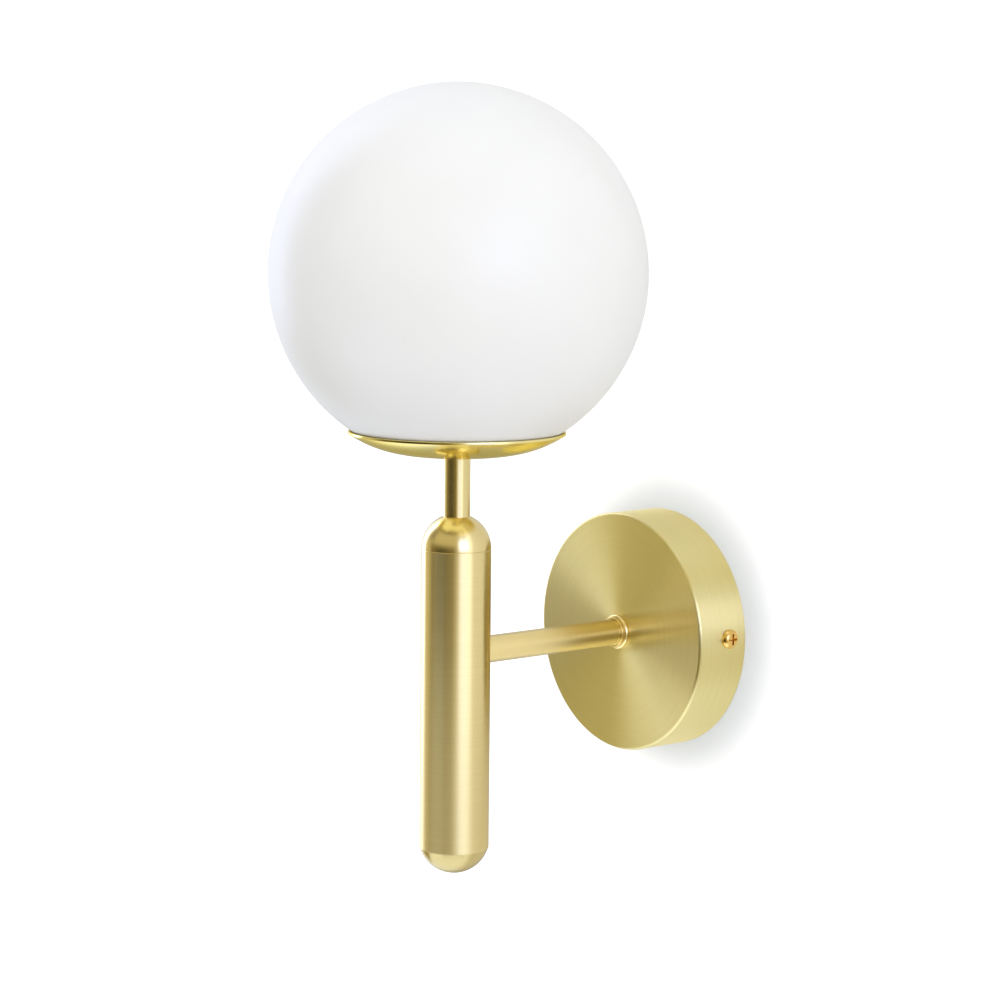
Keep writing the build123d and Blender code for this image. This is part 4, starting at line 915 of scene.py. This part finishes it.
@dataclass
class Arm:
    """Horizontal arm with its collar at the plate."""

    radius: float = 5.5 * MM
    bore: float = 3.7 * MM
    thread_radius: float = 5.0 * MM
    start: float = 17.0 * MM
    plate_face: float = 25 * MM
    hub_shoulder: float = 100.9 * MM
    tip: float = 107.4 * MM
    bevel: float = 0.4 * MM
    slip: float = 0.1 * MM
    foot: float = 0.4 * MM
    bead_width: float = 2.2 * MM
    bead_radius: float = 7.35 * MM
    bead_crown: float = 0.7 * MM
    groove: float = 0.3 * MM
    ring_width: float = 0.9 * MM
    ring_radius: float = 6.4 * MM
    ring_rounding: float = 0.2 * MM
    steps: int = 96
    collar_steps: int = 128
    bead_steps: int = 16

    def build(self, lathe: TurningLathe, finishes: Finishes) -> None:
        """Builds the tube and the collar and dresses the bush behind the plate."""
        tube = Outline().to(self.bore, self.start).to(self.thread_radius - self.bevel, self.start)
        tube.to(self.thread_radius, self.start + self.bevel).to(self.thread_radius, self.plate_face)
        tube.to(self.radius, self.plate_face).to(self.radius, self.hub_shoulder)
        tube.to(self.thread_radius, self.hub_shoulder).to(self.thread_radius, self.tip - self.bevel)
        tube.to(self.thread_radius - self.bevel, self.tip).to(self.bore, self.tip)
        piece = lathe.turn("arm_pipe", tube, Axis.WALL, finishes["arm_brass"], self.steps)
        keep(piece, "root", "polished_brass", "arm_tube")
        piece = lathe.turn("collar_ring", self.collar(), Axis.WALL, finishes["arm_brass"],
                           self.collar_steps)
        keep(piece, "root", "polished_brass", "arm_collar")
        finishes.dress("bush_nylon", "arm_bush")

    def collar(self) -> Outline:
        """Returns the collar's outline: a rounded bead, a groove and a thinner ring."""
        half_width = self.bead_width / 2
        edge = self.bead_radius - self.bead_crown
        curve = (half_width**2 + self.bead_crown**2) / (2 * self.bead_crown)
        middle = self.plate_face + self.foot + half_width
        sweep = math.asin(half_width / curve)
        bead_end = middle + half_width
        end = bead_end + self.groove + self.ring_width
        bore = self.radius + self.slip
        outline = Outline().to(bore, end).to(bore, self.plate_face).to(edge, self.plate_face)
        outline.arc((self.bead_radius - curve, middle), curve, -sweep, sweep, self.bead_steps)
        outline.to(self.ring_radius - self.groove, bead_end)
        outline.to(self.ring_radius - self.groove, bead_end + self.groove)
        outline.to(self.ring_radius, bead_end + self.groove, self.ring_rounding / 2)
        return outline.to(self.ring_radius, end, self.ring_rounding)


@dataclass
class Body:
    """Upright tube with a domed cap at each end."""

    radius: float = 14 * MM
    sheet: float = 1 * MM
    lower_seam: float = -79.4 * MM
    upper_seam: float = 42.6 * MM
    seam_chamfer: float = 0.25 * MM
    spigot_radius: float = 12.9 * MM
    spigot_length: float = 5 * MM
    stem_radius: float = 5.4 * MM
    nut_room: float = 8.333 * MM
    nut_seat: float = 47.0 * MM
    thread_bore: float = 5.05 * MM
    cap_depth: float = 10.2 * MM
    cap_step: float = 0.2 * MM
    steps: int = 192
    dome_steps: int = 48

    @property
    def stem_foot(self) -> float:
        """Height at which the stem leaves the upper dome."""
        return self.upper_seam + math.sqrt(self.radius**2 - self.stem_radius**2)

    def build(self, lathe: TurningLathe, finishes: Finishes) -> None:
        """Builds the tube and its two domes and dresses what they hold."""
        piece = lathe.turn("body_shell", self.shell(), Axis.UPRIGHT, finishes["tube_brass"], self.steps)
        keep(piece, "root", "brushed_brass", "body_tube")
        piece = lathe.turn("upper_dome", self.upper_dome(), Axis.UPRIGHT, finishes["dome_brass"], self.steps)
        keep(piece, "root", "polished_brass", "top_dome")
        piece = lathe.turn("lower_dome", self.lower_dome(), Axis.UPRIGHT, finishes["shaded_foot_brass"], self.steps)
        keep(piece, "root", "polished_brass", "bottom_dome")
        finishes.dress("raw_brass", "body_hub", "centre_nipple", "coupling_nut")
        finishes.dress("zinc_steel", "tie_rod")

    def shell(self) -> Outline:
        """Returns the tube's outline, with a chamfer at each seam."""
        inner, chamfer = self.radius - self.sheet, self.seam_chamfer
        shell = Outline().to(inner, self.lower_seam).to(self.radius - chamfer, self.lower_seam)
        shell.to(self.radius, self.lower_seam + chamfer, chamfer)
        shell.to(self.radius, self.upper_seam - chamfer, chamfer)
        return shell.to(self.radius - chamfer, self.upper_seam).to(inner, self.upper_seam)

    def upper_dome(self) -> Outline:
        """Returns the half-round cap's outline, with its spigot and the nut's room."""
        foot = self.upper_seam - self.spigot_length
        dome = Outline().to(self.thread_bore, self.stem_foot).to(self.thread_bore, self.nut_seat)
        dome.to(self.nut_room, self.nut_seat).to(self.nut_room, foot).to(self.spigot_radius, foot)
        dome.to(self.spigot_radius, self.upper_seam)
        end = math.acos(self.stem_radius / self.radius)
        return dome.arc((0.0, self.upper_seam), self.radius, 0.0, end, self.dome_steps)

    def lower_dome(self) -> Outline:
        """Returns the shallow cap's outline, with its spigot."""
        radius, depth = self.radius - self.cap_step, self.cap_depth
        curve = (radius**2 + depth**2) / (2 * depth)
        centre = (0.0, self.lower_seam - depth + curve)
        start = -math.acos(radius / curve)
        top = self.lower_seam + self.spigot_length
        cap = Outline().to(0.0, top).to(self.spigot_radius, top).to(self.spigot_radius, self.lower_seam)
        return cap.arc(centre, curve, start, -math.pi / 2, self.dome_steps)


@dataclass
class Gallery:
    """Stem and dish, with the gasket and the spring clips that hold the globe."""

    stem_foot: float
    stem_radius: float = 5.4 * MM
    stem_length: float = 24.5 * MM
    stem_start: float = 37.5 * MM
    stem_end_rise: float = 10.8 * MM
    thread_radius: float = 5.0 * MM
    thread_bevel: float = 0.4 * MM
    bore: float = 3.7 * MM
    tapped_radius: float = 5.05 * MM
    sheet: float = 1 * MM
    curve_radius: float = 124 * MM
    height: float = 9.6 * MM
    flat_radius: float = 6.5 * MM
    rim_inner_radius: float = 42.264 * MM
    rim_rounding: float = 0.35 * MM
    lip_height: float = 1.0 * MM                    # the upright edge above the bowl's curve
    bowl_steps: int = 60
    bowl_power: float = 2.9                         # how flat the bowl stays before it turns up
    holder_screw: PanScrew = PanScrew(1.5 * MM, 7.8 * MM, 2.7 * MM, 1.8 * MM)
    holder_screw_x: float = 11.5 * MM
    holder_seat: float = 105.017 * MM
    rivet_circle: float = 19 * MM
    rivet_radius: float = 1.5 * MM
    rivet_tail_radius: float = 1.8 * MM
    rivet_head_radius: float = 2.5 * MM
    rivet_levels: tuple[float, ...] = (82.817 * MM, 83.217 * MM, 84.517 * MM)      # tail, plate, head
    rivet_head_height: float = 0.8 * MM
    stem_steps: int = 96
    dish_steps: int = 256
    inner_steps: int = 40
    fastener_steps: int = 40

    @property
    def under(self) -> float:
        """Height of the dish's underside at its middle."""
        return self.stem_foot + self.stem_length

    def build(self, lathe: TurningLathe, copies: CopyRing, finishes: Finishes) -> None:
        """Builds the stem, the dish and their fastenings and dresses the clips and the gasket."""
        piece = lathe.turn("stem_pipe", self.stem(), Axis.UPRIGHT, finishes["dome_brass"], self.stem_steps)
        keep(piece, "root", "polished_brass", "stem_tube")
        piece = lathe.turn("dish_shell", self.dish(), Axis.UPRIGHT, finishes["dish_brass"], self.dish_steps)
        keep(piece, "root", "polished_brass", "gallery_dish")
        finishes.dress("silicone", "globe_gasket")
        finishes.dress("raw_brass", "dish_spacer", "stem_nut")
        finishes.dress("zinc_steel", "stem_washer", "holder_strap")
        finishes.dress("spring_steel", "clip_plate", "leaf_clip_1", "leaf_clip_2", "leaf_clip_3")
        finishes.dress("bush_nylon", "stem_bush")
        self.fasten(lathe, copies, finishes)

    def fasten(self, lathe: TurningLathe, copies: CopyRing, finishes: Finishes) -> None:
        """Builds the lampholder's two screws and the three rivets of the clips."""
        x, y, _ = BODY_AXIS
        zinc, spring = finishes["zinc_steel"], finishes["spring_steel"]
        one = lathe.turn("holder_screw", self.holder_screw.outline(), Axis.LOOSE, zinc, self.fastener_steps)
        layout = Layout(2, self.holder_screw_x, (x, y, self.holder_seat))
        screws = copies.repeat("holder_screw_pair", one, layout, zinc, self.holder_screw.recess())
        keep(screws, "root", "zinc_steel", "holder_screws")
        tail, plate, seat = self.rivet_levels
        rivet = Outline().to(0.0, tail).to(self.rivet_tail_radius, tail).to(self.rivet_tail_radius, plate)
        rivet.to(self.rivet_radius, plate).to(self.rivet_radius, seat)
        rivet = domed(rivet, self.rivet_head_radius, seat, self.rivet_head_height)
        one = lathe.turn("clip_rivet", rivet, Axis.LOOSE, spring, self.fastener_steps)
        layout = Layout(3, self.rivet_circle, BODY_AXIS, first_angle=math.radians(90))
        rivets = copies.repeat("clip_rivet_set", one, layout, spring)
        keep(rivets, "root", "spring_steel", "clip_rivets")

    def stem(self) -> Outline:
        """Returns the stem's outline, turned down to its thread at both ends."""
        end = self.under + self.stem_end_rise
        tip_radius = self.thread_radius - self.thread_bevel
        pipe = Outline().to(self.bore, self.stem_start).to(tip_radius, self.stem_start)
        pipe.to(self.thread_radius, self.stem_start + self.thread_bevel)
        pipe.to(self.thread_radius, self.stem_foot)
        pipe.to(self.stem_radius, self.stem_foot).to(self.stem_radius, self.under)
        pipe.to(self.thread_radius, self.under).to(self.thread_radius, end - self.thread_bevel)
        return pipe.to(tip_radius, end).to(self.bore, end)

    def dish(self) -> Outline:
        """Returns the dish's outline: a flat middle, a bowl that steepens outwards, and an upright lip."""
        floor, top = self.under + self.sheet, self.under + self.height
        centre = (0.0, self.under + self.curve_radius)
        rim_radius = self.rim_inner_radius + self.sheet
        inner_curve = self.curve_radius - self.sheet
        bowl = self.height - self.lip_height
        inner_start = -math.acos(self.rim_inner_radius / inner_curve)
        inner_end = -math.acos(self.flat_radius / inner_curve)
        dish = Outline().to(self.tapped_radius, floor).to(self.tapped_radius, self.under)
        for step in range(self.bowl_steps + 1):
            share = step / self.bowl_steps
            across = self.flat_radius + (rim_radius - self.flat_radius) * share
            dish.to(across, self.under + bowl * share**self.bowl_power)
        dish.to(rim_radius, top, self.rim_rounding).to(self.rim_inner_radius, top, self.rim_rounding)
        return dish.arc(centre, inner_curve, inner_start, inner_end, self.inner_steps)


@dataclass
class Globe:
    """Opal glass sphere with a ground lip, lifted off to reach the bulb."""

    radius: float = 75 * MM
    wall: float = 3 * MM
    opening_radius: float = 40 * MM
    centre_height: float = 151.845 * MM
    lip_rounding: float = 0.6 * MM
    steps: int = 192
    outer_steps: int = 110
    inner_steps: int = 60

    def build(self, lathe: TurningLathe, finishes: Finishes) -> None:
        """Builds the globe."""
        drop = math.sqrt(self.radius**2 - self.opening_radius**2)
        inner = self.radius - self.wall
        centre = (0.0, self.centre_height)
        top = math.pi / 2
        glass = Outline().arc(centre, self.radius, -math.asin(drop / self.radius), top, self.outer_steps)
        glass.arc(centre, inner, top, -math.asin(drop / inner), self.inner_steps)
        for corner in (0, -1):
            glass.corners[corner] = (*glass.corners[corner][:2], self.lip_rounding)
        piece = lathe.turn("globe_shade", glass, Axis.UPRIGHT, finishes["opal_glass"], self.steps)
        keep(piece, "globe", "opal_glass", "globe_glass")


@dataclass
class Lamp:
    """Lampholder, bulb and the wires that feed them."""

    wires: tuple[str, ...] = ("live", "neutral", "earth")
    chip_size: float = 2.4 * MM
    chip_thickness: float = 0.7 * MM
    chip_bevel: float = 0.08 * MM
    chip_circle: float = 3.85 * MM
    chip_sides: int = 4
    chip_rows: int = 5
    chip_pitch: float = 4.7 * MM
    first_chip: float = 133.417 * MM
    post_top: float = 154.817 * MM

    def build(self, copies: CopyRing, finishes: Finishes) -> None:
        """Builds the bulb's chips and dresses the holder, the bulb and the wires."""
        one = small_block("chip", (self.chip_thickness, self.chip_size, self.chip_size), self.chip_bevel)
        x, y, _ = BODY_AXIS
        top_rise = self.post_top + self.chip_thickness / 2 - self.first_chip
        layout = Layout(self.chip_sides, self.chip_circle, (x, y, self.first_chip), rows=self.chip_rows,
                        row_step=(0.0, 0.0, self.chip_pitch), top_rise=top_rise)
        chips = copies.repeat("chip_rows", one, layout, finishes["chip_yellow"])
        keep(chips, "bulb", "chip_yellow", "bulb_chips")
        finishes.dress("lampholder_ceramic", "lampholder")
        finishes.dress("tinned_copper", "contact_springs", "bulb_pins")
        finishes.dress("bulb_white", "bulb_base")
        finishes.dress("bulb_ceramic", "bulb_post")
        finishes.dress("bulb_clear", "bulb_cover")
        for wire in self.wires:
            finishes.dress(f"{wire}_insulation", f"{wire}_wire")


# --- Studio --------------------------------------------------------------------------------------
@dataclass
class Softbox:
    """A soft lamp that lights the pale surfaces and isn't seen in the metal."""

    name: str
    azimuth: float              # degrees from the front, towards the right
    elevation: float            # degrees above the horizon
    distance: float
    size: float
    power: float                # watts

    def build(self, target: Vector) -> None:
        """Hangs the lamp and points it at the target."""
        data = bpy.data.lights.new(self.name, "AREA")
        data.shape = "DISK"
        data.size = self.size
        data.energy = self.power
        lamp = linked(self.name, data)
        away = direction(self.azimuth, self.elevation)
        lamp.location = target + away * self.distance
        lamp.rotation_euler = away.to_track_quat("Z", "Y").to_euler()
        lamp.visible_camera = False
        lamp.visible_glossy = False


def direction(azimuth: float, elevation: float) -> Vector:
    """Unit vector at an azimuth from the front towards the right, and an elevation, in degrees."""
    turn, rise = math.radians(azimuth), math.radians(elevation)
    return Vector((math.cos(rise) * math.sin(turn), -math.cos(rise) * math.cos(turn), math.sin(rise)))


@dataclass(frozen=True)
class Panel:
    """A soft-edged patch of the room that the metal mirrors: a bright screen or a dark flag."""

    across: Point               # first and last azimuth, degrees
    up: Point                   # lowest and highest elevation, degrees
    soft: Point                 # width of the soft edge sideways and upwards
    colour: Colour


@dataclass
class Studio:
    """Pale wall and floor, the light round them and the camera."""

    target: Triple = (4.829 * MM, -94.010 * MM, 61.133 * MM)
    azimuth: float = 50.862
    elevation: float = 7.286
    roll: float = 0.561
    distance: float = 1.15
    lens: float = 103.37
    sensor_width: float = 36.0
    sight: float = 30.0                             # how far the camera sees
    floor_height: float = -1.5
    floor_size: float = 3.0
    wall_size: float = 8.0
    backdrop_gap: float = 0.3 * MM
    backdrop_colour: float = 0.8
    # The backdrop's glow is dimmed round the plate into a painted shadow, which fades out over its reach.
    painted_shadow_beside: Colour = (0.14, 0.18, 0.25)        # painted shadow: the camera's glow, dimmed and tinted beside the plate
    glow_away: Colour = (0.64, 0.64, 0.64)
    painted_shadow_reach: Point = (46 * MM, 78 * MM)
    painted_shadow_centre: Point = (5 * MM, 1 * MM)           # centre of the painted shadow round the plate, which leans to the right
    # For mirrored rays the wall's glow is dimmed near the lamp as painted shade and rises to a bluish-bright
    # far level.
    mirrored_painted_shade: Colour = (0.24, 0.24, 0.22)      # painted shade on the wall near the lamp, seen only by the metal
    glow_far: Colour = (0.75, 0.85, 1.10)
    mirrored_shade_reach: Point = (240 * MM, 620 * MM)
    shade_centre: Point = (-210 * MM, -110 * MM)    # a shaded part of the wall that the dish mirrors
    shade_reach: Point = (120 * MM, 230 * MM)
    shade_height: float = 1.8                       # its height over its width
    shade_level: float = 0.56
    ambient: Point = (0.52, 0.89)                   # from the low left to the high right
    ambient_reach: float = 1.4                      # of right plus up, which is 1.41 at the most
    room: Colour = (0.70, 0.63, 0.40)
    panels: tuple[Panel, ...] = (
        Panel((-42, 50), (-34, 11), (26, 18), (0.15, 0.115, 0.03)),
        Panel((-110, -58), (-70, -22), (16, 12), (0.50, 0.42, 0.15)),
        Panel((-47, 8), (-54, -30), (22, 12), (1.85, 2.0, 2.2)),
        Panel((-66, -36), (16, 50), (16, 16), (0.35, 0.32, 0.20)),
        Panel((-14, 20), (-30, 5), (14, 12), (0.04, 0.03, 0.0)),
        Panel((-110, -72), (-14, 52), (12, 12), (3.1, 3.3, 4.4)),
        Panel((60, 112), (-10, 40), (14, 14), (1.1, 1.22, 1.8)),
        Panel((64, 112), (2, 28), (12, 8), (3.4, 3.8, 6.0)),
        Panel((50, 100), (-80, -36), (20, 16), (1.10, 1.15, 1.15)),
        Panel((-400, 400), (58, 100), (1, 12), (1.15, 1.2, 1.40)),
    )
    softboxes: tuple[Softbox, ...] = (
        Softbox("right_softbox", 75, 8, 1.4, 0.9, 3.4),
        Softbox("top_softbox", 20, 75, 1.3, 0.9, 0.7),
        Softbox("left_softbox", -28, 8, 1.5, 0.9, 2.2),
    )

    def build(self) -> None:
        """Sets up the camera, the backdrop, the sky and the lamps."""
        self.camera()
        self.backdrop()
        self.sky()
        for softbox in self.softboxes:
            softbox.build(Vector(self.target))
        settings = bpy.context.scene.view_settings
        settings.view_transform = "Standard"

    def camera(self) -> None:
        """Places the camera at the photograph's viewing angle."""
        data = bpy.data.cameras.new("camera")
        data.sensor_width = self.sensor_width
        data.lens = self.lens
        data.clip_end = self.sight
        camera = linked("camera", data)
        away = direction(self.azimuth, self.elevation)
        upright = away.to_track_quat("Z", "Y").to_matrix()
        camera.matrix_world = (Matrix.Translation(Vector(self.target) + away * self.distance)
                               @ (upright @ Matrix.Rotation(math.radians(self.roll), 3, "Z")).to_4x4())
        bpy.context.scene.camera = camera

    def backdrop(self) -> None:
        """Builds the wall behind the plate and the floor below the lamp."""
        material = self.backdrop_material()
        side, reach = self.wall_size / 2, self.floor_size / 2
        wall = [(side * x, self.backdrop_gap, side * z) for x, z in SQUARE]
        floor = [(reach * x, reach * y, self.floor_height) for x, y in SQUARE]
        for name, corners in (("wall", wall), ("floor", floor)):
            mesh = bpy.data.meshes.new(name)
            mesh.from_pydata(corners, [], [(0, 1, 2, 3)])
            mesh.materials.append(material)
            plane = linked(name, mesh)
            plane.visible_shadow = False

    def backdrop_material(self) -> Material:
        """Makes the backdrop's material: a glow with painted shade near the lamp, and clear from behind.

        Returns:
            The material.
        """
        material, graph = blank_material("pale_backdrop")
        x, _, z = graph.parts(graph.add("ShaderNodeTexCoord").outputs["Object"])
        aside = graph.math("SUBTRACT", x, self.painted_shadow_centre[0])
        above = graph.math("SUBTRACT", z, self.painted_shadow_centre[1])
        squares = graph.math("MULTIPLY_ADD", aside, aside, graph.math("MULTIPLY", above, above))
        away = graph.math("SQRT", squares)
        path = graph.add("ShaderNodeLightPath").outputs
        mirrored = graph.math("MAXIMUM", path["Is Glossy Ray"], path["Is Transmission Ray"])
        lower = graph.math("DIVIDE", graph.math("SUBTRACT", z, self.shade_centre[1]), self.shade_height)
        place = graph.vector(graph.math("SUBTRACT", x, self.shade_centre[0]), lower, 0.0)
        offset = graph.add("ShaderNodeVectorMath", {0: place}, operation="LENGTH").outputs["Value"]
        patch = graph.ease(offset, *self.shade_reach, 1 - self.shade_level, 0.0)
        shade = graph.math("MULTIPLY", mirrored, patch)
        near, far = opaque(self.painted_shadow_beside), opaque(self.glow_away)
        # painted shadow: the glow the camera sees is dimmed near the plate
        plain = graph.blend(graph.ease(away, *self.painted_shadow_reach), near, far)
        near, far = opaque(self.mirrored_painted_shade), opaque(self.glow_far)
        # painted shade: the wall that the metal mirrors is dimmed near the lamp
        behind = graph.blend(graph.ease(away, *self.mirrored_shade_reach), near, far)
        seen = graph.math("MAXIMUM", path["Is Camera Ray"], mirrored)
        strength = graph.math("MULTIPLY", seen, graph.math("SUBTRACT", 1.0, shade))
        inputs = {"Color": graph.blend(mirrored, plain, behind), "Strength": strength}
        glow = graph.out("ShaderNodeEmission", inputs)
        colour = graph.blend(shade, opaque((self.backdrop_colour,) * 3), opaque(ZERO))
        matt = graph.out("ShaderNodeBsdfDiffuse", {"Color": colour})
        lit = graph.out("ShaderNodeAddShader", {0: matt, 1: glow})
        clear = graph.out("ShaderNodeBsdfTransparent")
        back = graph.add("ShaderNodeNewGeometry").outputs["Backfacing"]
        sides = graph.out("ShaderNodeMixShader", {0: back, 1: lit, 2: clear})
        graph.add("ShaderNodeOutputMaterial", {"Surface": sides})
        return material

    def sky(self) -> None:
        """Builds the room's light: white for the camera, plain for pale surfaces, panels for metal."""
        world = bpy.data.worlds.new("studio")
        bpy.context.scene.world = world
        world.use_nodes = True
        world.node_tree.nodes.clear()
        graph = Graph(world.node_tree)
        x, y, z = graph.parts(graph.add("ShaderNodeTexCoord").outputs["Generated"])
        azimuth = graph.math("DEGREES", graph.math("ARCTAN2", x, graph.math("MULTIPLY", y, -1.0)))
        rise = graph.math("DEGREES", graph.math("ARCSINE", z))
        mirrored = opaque(self.room)
        for panel in self.panels:
            mirrored = graph.blend(self.cover(graph, azimuth, rise, panel), mirrored, opaque(panel.colour))
        path = graph.add("ShaderNodeLightPath").outputs
        ambient = graph.ease(graph.math("ADD", x, z), -self.ambient_reach, self.ambient_reach, *self.ambient)
        for_metal = graph.blend(path["Is Glossy Ray"], graph.vector(ambient, ambient, ambient), mirrored)
        clear = graph.math("MAXIMUM", path["Is Camera Ray"], path["Is Transmission Ray"])
        colour = graph.blend(clear, for_metal, (1.0, 1.0, 1.0, 1.0))
        background = graph.out("ShaderNodeBackground", {"Color": colour, "Strength": 1.0})
        graph.add("ShaderNodeOutputWorld", {"Surface": background})

    def cover(self, graph: Graph, azimuth: object, rise: object, panel: Panel) -> Socket:
        """Works out how far a panel covers the direction of a ray.

        Args:
            graph: The world's graph.
            azimuth: Azimuth of the ray, in degrees.
            rise: Elevation of the ray, in degrees.
            panel: The panel.

        Returns:
            1 inside the panel and 0 outside it.
        """
        inside = 1.0
        spans = ((azimuth, panel.across), (rise, panel.up))
        for (value, (low, high)), soft in zip(spans, panel.soft):
            entered = graph.ease(value, low - soft / 2, low + soft / 2)
            left = graph.ease(value, high - soft / 2, high + soft / 2, 1.0, 0.0)
            inside = graph.math("MULTIPLY", graph.math("MULTIPLY", inside, entered), left)
        return inside


def main() -> None:
    """Builds the studio and every sub-assembly in order, logging each piece as it is built."""
    logging.basicConfig(level=logging.INFO, format="%(message)s")
    Studio().build()
    finishes = Finishes()
    lathe, copies = TurningLathe(), CopyRing()
    WallPlate().build(lathe, copies, finishes)
    Arm().build(lathe, finishes)
    body = Body()
    body.build(lathe, finishes)
    Gallery(stem_foot=body.stem_foot).build(lathe, copies, finishes)
    Globe().build(lathe, finishes)
    Lamp().build(copies, finishes)


if __name__ == "__main__":
    main()
